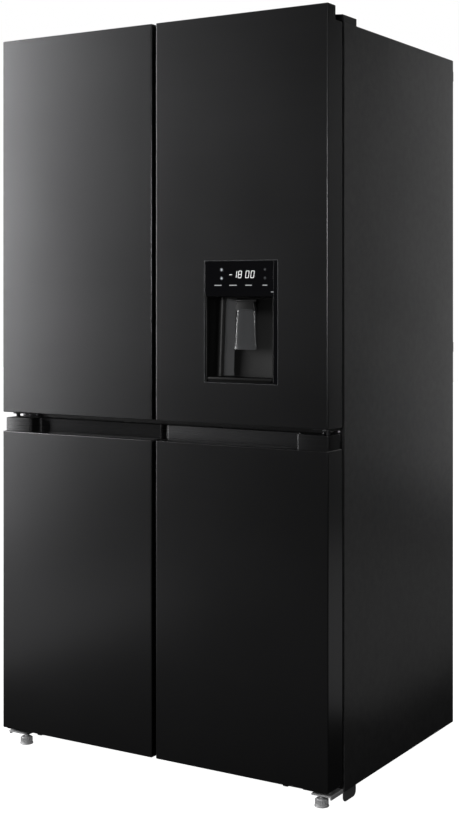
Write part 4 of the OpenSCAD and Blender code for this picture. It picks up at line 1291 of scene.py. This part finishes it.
# roller: a rubber tread with grooves on a turned hub
def buildRoller(side):
    low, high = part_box(f"{side}_roller")
    spot = jointSpot(f"{side}_roller_spin")
    half, radius = (high.x - low.x) / 2, (high.z - low.z) / 2
    profile = [(0.0042, -half), (0.010, -half), (0.011, -half + 0.0015), (radius - 0.005, -half + 0.0015),
               (radius - 0.002, -half), (radius - 0.0005, -half + 0.001)]
    deep = radius - rollerSet["grooveDeep"]
    for k in range(rollerSet["grooves"]):
        x = -half + 0.0035 + k * (2 * half - 0.007) / (rollerSet["grooves"] - 1)
        profile += [(radius, x - 0.0016), (radius, x + 0.0010), (deep, x + 0.0014), (deep, x + 0.0022)]
    profile = profile[:-2] + [(radius - 0.0005, half - 0.001), (radius - 0.002, half),
                              (radius - 0.005, half - 0.0015), (0.011, half - 0.0015), (0.010, half),
                              (0.0042, half)]
    bm = bmesh.new()
    turns = [2 * math.pi * k / rollerSet["steps"] for k in range(rollerSet["steps"])]
    rings = [[(spot.x + along, spot.y + r * math.cos(turn), spot.z + r * math.sin(turn)) for turn in turns]
             for r, along in profile]
    addLoft(bm, rings, closeEnds=False, loop=True)
    place(finishMesh(bm, f"{side}RollerTread", rollerPlastic, angle=35), f"{side}_roller", "roller_plastic",
          f"{side}_roller")


for side in ("left", "right"):
    buildFoot(side)
    buildRoller(side)
print("hinges, feet and rollers done")

# back of the cabinet

backSet = {
    "ribs": 7, "ribWidth": 0.010, "ribDeep": 0.0009,
    "louvres": 12, "louvreX": -0.380, "louvreZ": 0.100, "louvreBulge": 0.0035,
}


def buildBack():
    low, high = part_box("back_panel")
    softened("back_panel", 0.0003, "galvanised_steel")
    bm = bmesh.new()
    step = (high.x - low.x - 0.12) / (backSet["ribs"] - 1)
    x = low.x + 0.06
    w, d = backSet["ribWidth"], backSet["ribDeep"]
    addLoft(bm, [[(x - w, high.y - 0.0004, z0), (x + w, high.y - 0.0004, z0), (x + w * 0.5, high.y + d, z1),
                  (x - w * 0.5, high.y + d, z1)]
                 for z0, z1 in ((low.z + 0.06, low.z + 0.07), (high.z - 0.06, high.z - 0.07))])
    ribs = grown(finishMesh(bm, "backPressedRibs", zincSteel), rowTree, zincSteel, Count=backSet["ribs"],
                 Step=(step, 0, 0), Rows=1)
    place(ribs, "cabinet", "galvanised_steel")
    corner = buildScrew("backScrews", (low.x + 0.012, high.y, low.z + 0.02), (0, 1, 0), screwSet["sheet"],
                        Count=2, Step=(high.x - low.x - 0.024, 0, 0), Rows=8,
                        Row_Step=(0, 0, (high.z - low.z - 0.04) / 7))
    place(corner, "cabinet", "screw_steel")
    softened("machine_cover", 0.0006, slotOf["machine_cover"])
    low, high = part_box("machine_cover")
    hood = bmesh.new()
    x, z = backSet["louvreX"], backSet["louvreZ"]
    rows = []
    bulge = backSet["louvreBulge"]
    for share in (0, 0.25, 0.5, 0.75, 1):
        angle = math.pi * share
        y, rise = high.y - 0.0006 + bulge * math.sin(angle), z + bulge - bulge * math.cos(angle)
        rows.append([(x + 0.001, y, rise), (x + 0.039, y, rise)])
    grid = [[hood.verts.new(p) for p in row] for row in rows]
    for a, b in zip(grid, grid[1:]):
        hood.faces.new((a[0], b[0], b[1], a[1]))
    shade = finishMesh(hood, "coverLouvres", machineCoat, angle=60, outward=False)
    thick = shade.modifiers.new("sheet", "SOLIDIFY")
    thick.thickness = 0.0007
    bake(shade)
    grown(shade, rowTree, machineCoat, Count=backSet["louvres"], Step=(0.060, 0, 0), Rows=2,
          Row_Step=(0, 0, 0.030))
    place(shade, "cabinet", slotOf["machine_cover"])
    screws = buildScrew("coverScrews", (low.x + 0.015, high.y, low.z + 0.012), (0, 1, 0), screwSet["sheet"],
                        Count=5, Step=((high.x - low.x - 0.03) / 4, 0, 0), Rows=2,
                        Row_Step=(0, 0, high.z - low.z - 0.024))
    place(screws, "cabinet", "screw_steel")


compressorSet = {"radius": 0.070, "weld": 0.082, "shoulder": 0.125, "crownSteps": 8, "feet": 4}


# compressor: a drawn shell with its weld flange, feet and terminal box
def buildCompressor():
    low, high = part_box("compressor")
    cx, cy = (low.x + high.x) / 2, (low.y + high.y) / 2
    radius = compressorSet["radius"]
    base = low.z
    weld, shoulder = base + compressorSet["weld"], base + compressorSet["shoulder"]
    bm = bmesh.new()
    profile = [(radius * 0.4, base + 0.012), (radius * 0.8, base + 0.015), (radius * 0.95, base + 0.026),
               (radius - 0.0015, base + 0.042), (radius - 0.0015, weld - 0.003),
               (radius + 0.0015, weld - 0.002), (radius + 0.0015, weld + 0.002),
               (radius - 0.0025, weld + 0.003), (radius - 0.0025, shoulder)]
    for k in range(1, compressorSet["crownSteps"]):
        angle = math.radians(90 * k / compressorSet["crownSteps"])
        rise = (high.z - base - 0.127) * math.sin(angle)
        profile.append(((radius - 0.0025) * math.cos(angle), shoulder + rise))
    addLathe(bm, profile, (cx, cy, 0), (0, 0, 1), 48)
    shellPart = finishMesh(bm, "compressorShell", compressorPaint, angle=40)
    place(shellPart, "cabinet", "compressor_paint", "compressor")
    bm = bmesh.new()
    reach = radius * 0.72
    addBlock(bm, (cx - reach, cy - 0.022, base + 0.012), (cx + reach, cy + 0.022, base + 0.016), 0.001)
    addBlock(bm, (cx - 0.022, cy - reach, base + 0.012), (cx + 0.022, cy + reach, base + 0.016), 0.001)
    addBlock(bm, (cx + radius - 0.012, cy - 0.026, base + 0.05),
             (cx + radius + 0.001, cy + 0.026, base + 0.10), 0.003, 3)
    place(finishMesh(bm, "compressorMount", compressorPaint), "cabinet", "compressor_paint")
    bm = bmesh.new()
    spot = (cx + reach * 0.72, cy + reach * 0.72, base)
    addLathe(bm, [(0.010, 0), (0.011, 0.002), (0.0085, 0.005), (0.011, 0.008), (0.0105, 0.0125),
                  (0.004, 0.0135)], spot, (0, 0, 1), 20)
    grommets = grown(finishMesh(bm, "compressorGrommets", rollerPlastic), ringTree, rollerPlastic,
                     Count=compressorSet["feet"], Centre=(cx, cy, base), Axis=(0, 0, 1))
    place(grommets, "cabinet", "roller_plastic")


coilSet = {
    "edge": 0.006, "columns": 11, "pipe": 0.003, "bend": 0.0125, "wireRows": 12, "wireStep": 0.0118,
    "coldRows": 8, "coldStep": 0.0335, "coldPipe": 0.004, "coldBend": 0.0165, "fins": 58,
}


# straight runs joined end to end, every second one turned round
def serpentine(pairs):
    path = []
    for k, ends in enumerate(pairs):
        path += ends if k % 2 == 0 else ends[::-1]
    return path


# serpentine pipes for both heat exchangers, with pressed fins on the cold one
def buildCoils():
    low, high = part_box("condenser_coil")
    y = (low.y + high.y) / 2
    edge, columns = coilSet["edge"], coilSet["columns"]
    step = (high.x - low.x - 0.012) / (columns - 1)
    across = [low.x + edge + step * k for k in range(columns)]
    path = serpentine([[(x, y, low.z + edge), (x, y, high.z - edge)] for x in across])
    pipe = piped("condenserPipe", [path], coilSet["pipe"], coilSet["bend"], condenserSteel)
    place(pipe, "cabinet", "condenser_steel", "condenser_coil")
    bm = bmesh.new()
    addBlock(bm, (low.x, y - 0.0045, low.z + 0.020), (high.x, y - 0.0030, low.z + 0.0215), 0.0004)
    wires = grown(finishMesh(bm, "condenserWires", condenserSteel), rowTree, condenserSteel, Count=2,
                  Step=(0, 0.0075, 0), Rows=coilSet["wireRows"], Row_Step=(0, 0, coilSet["wireStep"]))
    place(wires, "cabinet", "condenser_steel")

    low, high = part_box("evaporator_coil")
    levels = [low.z + 0.016 + k * coilSet["coldStep"] for k in range(coilSet["coldRows"])]
    runs = [serpentine([[(low.x + edge, y, z), (high.x - edge, y, z)] for z in levels])
            for y in (low.y + 0.012, high.y - 0.012)]
    tube = piped("evaporatorPipe", runs, coilSet["coldPipe"], coilSet["coldBend"], coilAluminium)
    place(tube, "cabinet", "coil_aluminium", "evaporator_coil")
    bm = bmesh.new()
    x = low.x + 0.022
    addBlock(bm, (x, low.y + 0.001, low.z + 0.002), (x + 0.0004, high.y - 0.001, high.z - 0.002))
    fins = grown(finishMesh(bm, "evaporatorFins", coilAluminium), rowTree, coilAluminium,
                 Count=coilSet["fins"], Step=((high.x - low.x - 0.0444) / (coilSet["fins"] - 1), 0, 0),
                 Rows=1)
    place(fins, "cabinet", "coil_aluminium")


# width and pitch are in degrees, at the hub and what they lose by the tip
fanSet = {
    "blades": 7, "root": 0.0165, "stations": 8, "gap": 0.0008, "steps": 40,
    "wide": (44, 10), "pitch": (34, 14), "half": 0.0112, "skin": 0.0009, "sweep": 0.22,
}


# fan rotor: a domed hub with twisted blades
def buildFan(name, material, slotName):
    low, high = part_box(name)
    spot = jointSpot(name + "_spin")
    reach = (high.z - low.z) / 2 - fanSet["gap"]
    bm = bmesh.new()
    turns = [2 * math.pi * k / fanSet["steps"] for k in range(fanSet["steps"])]
    hubProfile = ((0.0046, -0.0115), (0.015, -0.0115), (0.0178, -0.0095), (0.0178, 0.009), (0.0155, 0.0118),
                  (0.0046, 0.0118))
    rings = [[(spot.x + r * math.cos(turn), spot.y + along, spot.z - r * math.sin(turn)) for turn in turns]
             for r, along in hubProfile]
    addLoft(bm, rings, closeEnds=False, loop=True)
    hub = finishMesh(bm, name + "Hub", material)
    place(hub, name, slotName, name)
    bm = bmesh.new()
    rings = []
    root, half, skin = fanSet["root"], fanSet["half"], fanSet["skin"]
    for k in range(fanSet["stations"]):
        share = k / (fanSet["stations"] - 1)
        r = root + (reach - root) * share
        wide = math.radians(fanSet["wide"][0] - fanSet["wide"][1] * share)
        pitch = math.tan(math.radians(fanSet["pitch"][0] - fanSet["pitch"][1] * share))
        ring = []
        for offset, thick in ((-0.5, 0), (-0.2, skin), (0.2, skin), (0.5, 0), (0.2, -skin), (-0.2, -skin)):
            angle = offset * wide + fanSet["sweep"] * share
            along = max(-half, min(half, r * offset * wide * pitch + thick))
            ring.append((spot.x + r * math.cos(angle), spot.y + along, spot.z - r * math.sin(angle)))
        rings.append(ring)
    addLoft(bm, rings)
    blades = grown(finishMesh(bm, name + "Blades", material, angle=60), ringTree, material,
                   Count=fanSet["blades"], Centre=tuple(spot), Axis=(0, 1, 0))
    place(blades, name, slotName)


buildBack()
buildCompressor()
buildCoils()
buildFan("condenser_fan", trimPlastic, "trim_plastic")
buildFan("evaporator_fan", linerPlastic, "liner_plastic")
low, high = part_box("drain_pan")
bm = bmesh.new()
addTray(bm, low, high, wall=0.002, corner=0.015, draft=0.004)
place(finishMesh(bm, "drainPanMoulded", linerPlastic), "cabinet", "liner_plastic", "drain_pan")
print("back and machine space done")

# inside

drawerSet = {"handle": 0.014, "ribs": 7}


# clear drawer: a drafted tray and a front with a turned grip along its top
def buildDrawer(name):
    low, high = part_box(name)
    bm = bmesh.new()
    addTray(bm, (low.x + 0.006, low.y + 0.0065, low.z + 0.006),
            (high.x - 0.006, high.y, high.z - 0.052 if "crisper" not in name else high.z - 0.02),
            corner=0.016, draft=0.005, rim=0.003)
    place(finishMesh(bm, name + "Tray", drawerClear), name, "clear_plastic", name)
    bm = bmesh.new()
    hold = drawerSet["handle"]
    profile = [(low.y + 0.0062, low.z + 0.001), (low.y + 0.0062, high.z - 0.002), (low.y + 0.0050, high.z),
               (low.y + 0.0012, high.z), (low.y, high.z - 0.0012), (low.y, high.z - hold),
               (low.y + 0.0012, high.z - hold - 0.001), (low.y + 0.0036, high.z - hold - 0.001),
               (low.y + 0.0036, low.z + hold), (low.y + 0.0012, low.z + hold - 0.004),
               (low.y + 0.0004, low.z + 0.003), (low.y + 0.0012, low.z)]
    addPrism(bm, profile, "x", low.x, high.x)
    front = finishMesh(bm, name + "Front", drawerClear)
    bake(addBevel(front, 0.0006, 2, 40))
    place(front, name, "clear_plastic")
    bm = bmesh.new()
    step = (high.x - low.x - 0.06) / (drawerSet["ribs"] - 1)
    addBlock(bm, (low.x + 0.029, low.y + 0.0024, low.z + 0.02),
             (low.x + 0.031, low.y + 0.0040, high.z - hold - 0.006), 0.0004)
    ribs = grown(finishMesh(bm, name + "Ribs", drawerClear), rowTree, drawerClear, Count=drawerSet["ribs"],
                 Step=(step, 0, 0), Rows=1)
    place(ribs, name, "clear_plastic")


for side in ("left", "right"):
    for kind in ("top_drawer", "bottom_drawer", "crisper"):
        buildDrawer(f"{side}_{kind}")


# shelf fronts and backs in a moulded strip, repeated up the cabinet
def buildShelves():
    low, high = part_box("glass_shelves")
    bm = bmesh.new()
    heights = sorted({round(v.co.z, 4) for v in nodes["glass_shelves"].data.vertices})
    thick = heights[1] - heights[0]
    for z in heights[::2]:
        for y0, y1 in ((low.y - 0.0015, low.y + 0.016), (high.y - 0.012, high.y + 0.001)):
            profile = [(y0, z - 0.004), (y1 - 0.002, z - 0.004), (y1, z - 0.0022), (y1, z - 0.0004),
                       (y1, z + thick + 0.0004), (y1 - 0.004, z + thick + 0.0016),
                       (y0 + 0.003, z + thick + 0.0016), (y0, z + thick - 0.001)]
            addPrism(bm, profile, "x", low.x + 0.0004, high.x - 0.0004)
    strip = finishMesh(bm, "shelfTrims", linerPlastic)
    place(strip, "cabinet", "liner_plastic")
    # ledges moulded in the liner walls under each shelf
    bm = bmesh.new()
    z = heights[0]
    for x0, x1 in ((low.x - 0.0008, low.x + 0.008), (high.x - 0.008, high.x + 0.0008)):
        addBlock(bm, (x0, low.y + 0.02, z - 0.012), (x1, high.y - 0.01, z - 0.0045), 0.002)
    ledge = finishMesh(bm, "shelfLedges", linerPlastic)
    copies = [bmesh.new() for _ in heights[2::2]]
    for target, other in zip(copies, heights[2::2]):
        target.from_mesh(ledge.data)
        bmesh.ops.translate(target, verts=target.verts, vec=(0, 0, other - z))
    place(ledge, "cabinet", "liner_plastic")
    for number, target in enumerate(copies):
        place(finishMesh(target, f"shelfLedges{number + 2}", linerPlastic), "cabinet", "liner_plastic")


ductSet = {"crown": 0.006, "steps": 12, "outletRows": 12, "outletStep": 0.036}


# air duct: a crowned column with a lamp lens; its outlet slots are black blocks, painted shade in place of
# openings
def buildDuct():
    low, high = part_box("air_duct")
    crown, steps = ductSet["crown"], ductSet["steps"]
    curve = [(low.x + (high.x - low.x) * k / steps,
              low.y + crown * (2 * k / steps - 1) ** 2) for k in range(1, steps)]
    outline = [(low.x, high.y), (low.x, low.y + crown)] + curve + [(high.x, low.y + crown),
            (high.x, high.y)]
    bm = bmesh.new()
    addPrism(bm, outline, "z", low.z, high.z)
    duct = finishMesh(bm, "airDuctColumn", linerPlastic, angle=25)
    bake(addBevel(duct, 0.0025, 3, 45))
    place(duct, "cabinet", "liner_plastic", "air_duct")
    bm = bmesh.new()
    # black blocks on the duct face: painted shade standing in for the dark insides of the outlet slots
    addBlock(bm, (-0.060, low.y - 0.0006, low.z + 0.070), (-0.020, low.y + 0.003, low.z + 0.076), 0.0008)
    slots = grown(finishMesh(bm, "ductOutletShade", recessBlack), rowTree, recessBlack, Count=2,
                  Step=(0.080, 0, 0), Rows=ductSet["outletRows"], Row_Step=(0, 0, ductSet["outletStep"]))
    place(slots, "cabinet", "liner_plastic")
    bm = bmesh.new()
    outline = roundedOutline(-0.045, 0.045, high.z - 0.165, high.z - 0.045, 0.014, 6)
    rings = [[(x * k, low.y + depth, high.z - 0.105 + (z - high.z + 0.105) * k) for x, z in outline] for k,
             depth in ((1, 0.003), (1, -0.0022), (0.96, -0.0034), (0.5, -0.0042))]
    addLoft(bm, rings)
    place(finishMesh(bm, "lampLensCover", lampLens), "cabinet", "liner_plastic")


# tank: a clear tray with a dark lid and a filling flap
def buildTank():
    low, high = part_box("water_tank")
    bm = bmesh.new()
    addTray(bm, low, (high.x, high.y, high.z - 0.006), corner=0.02, draft=0.006, rim=0.002)
    place(finishMesh(bm, "waterTankBody", drawerClear), "upper_right_door", "clear_plastic", "water_tank")
    bm = bmesh.new()
    rings = [[(x, y, z) for x, y in roundedOutline(low.x + inset, high.x - inset, low.y + inset,
                                                   high.y - inset, 0.02)]
             for inset, z in ((0.004, high.z - 0.007), (0, high.z - 0.0055), (0, high.z - 0.002),
                              (0.0016, high.z - 0.0004), (0.012, high.z - 0.0004), (0.014, high.z - 0.002))]
    addLoft(bm, rings)
    addBlock(bm, (low.x + 0.03, low.y + 0.022, high.z - 0.003),
             (low.x + 0.12, high.y - 0.022, high.z - 0.0006), 0.001)
    place(finishMesh(bm, "waterTankLid", trimPlastic), "upper_right_door", "trim_plastic")


buildShelves()
buildDuct()
buildTank()
print("inside done")
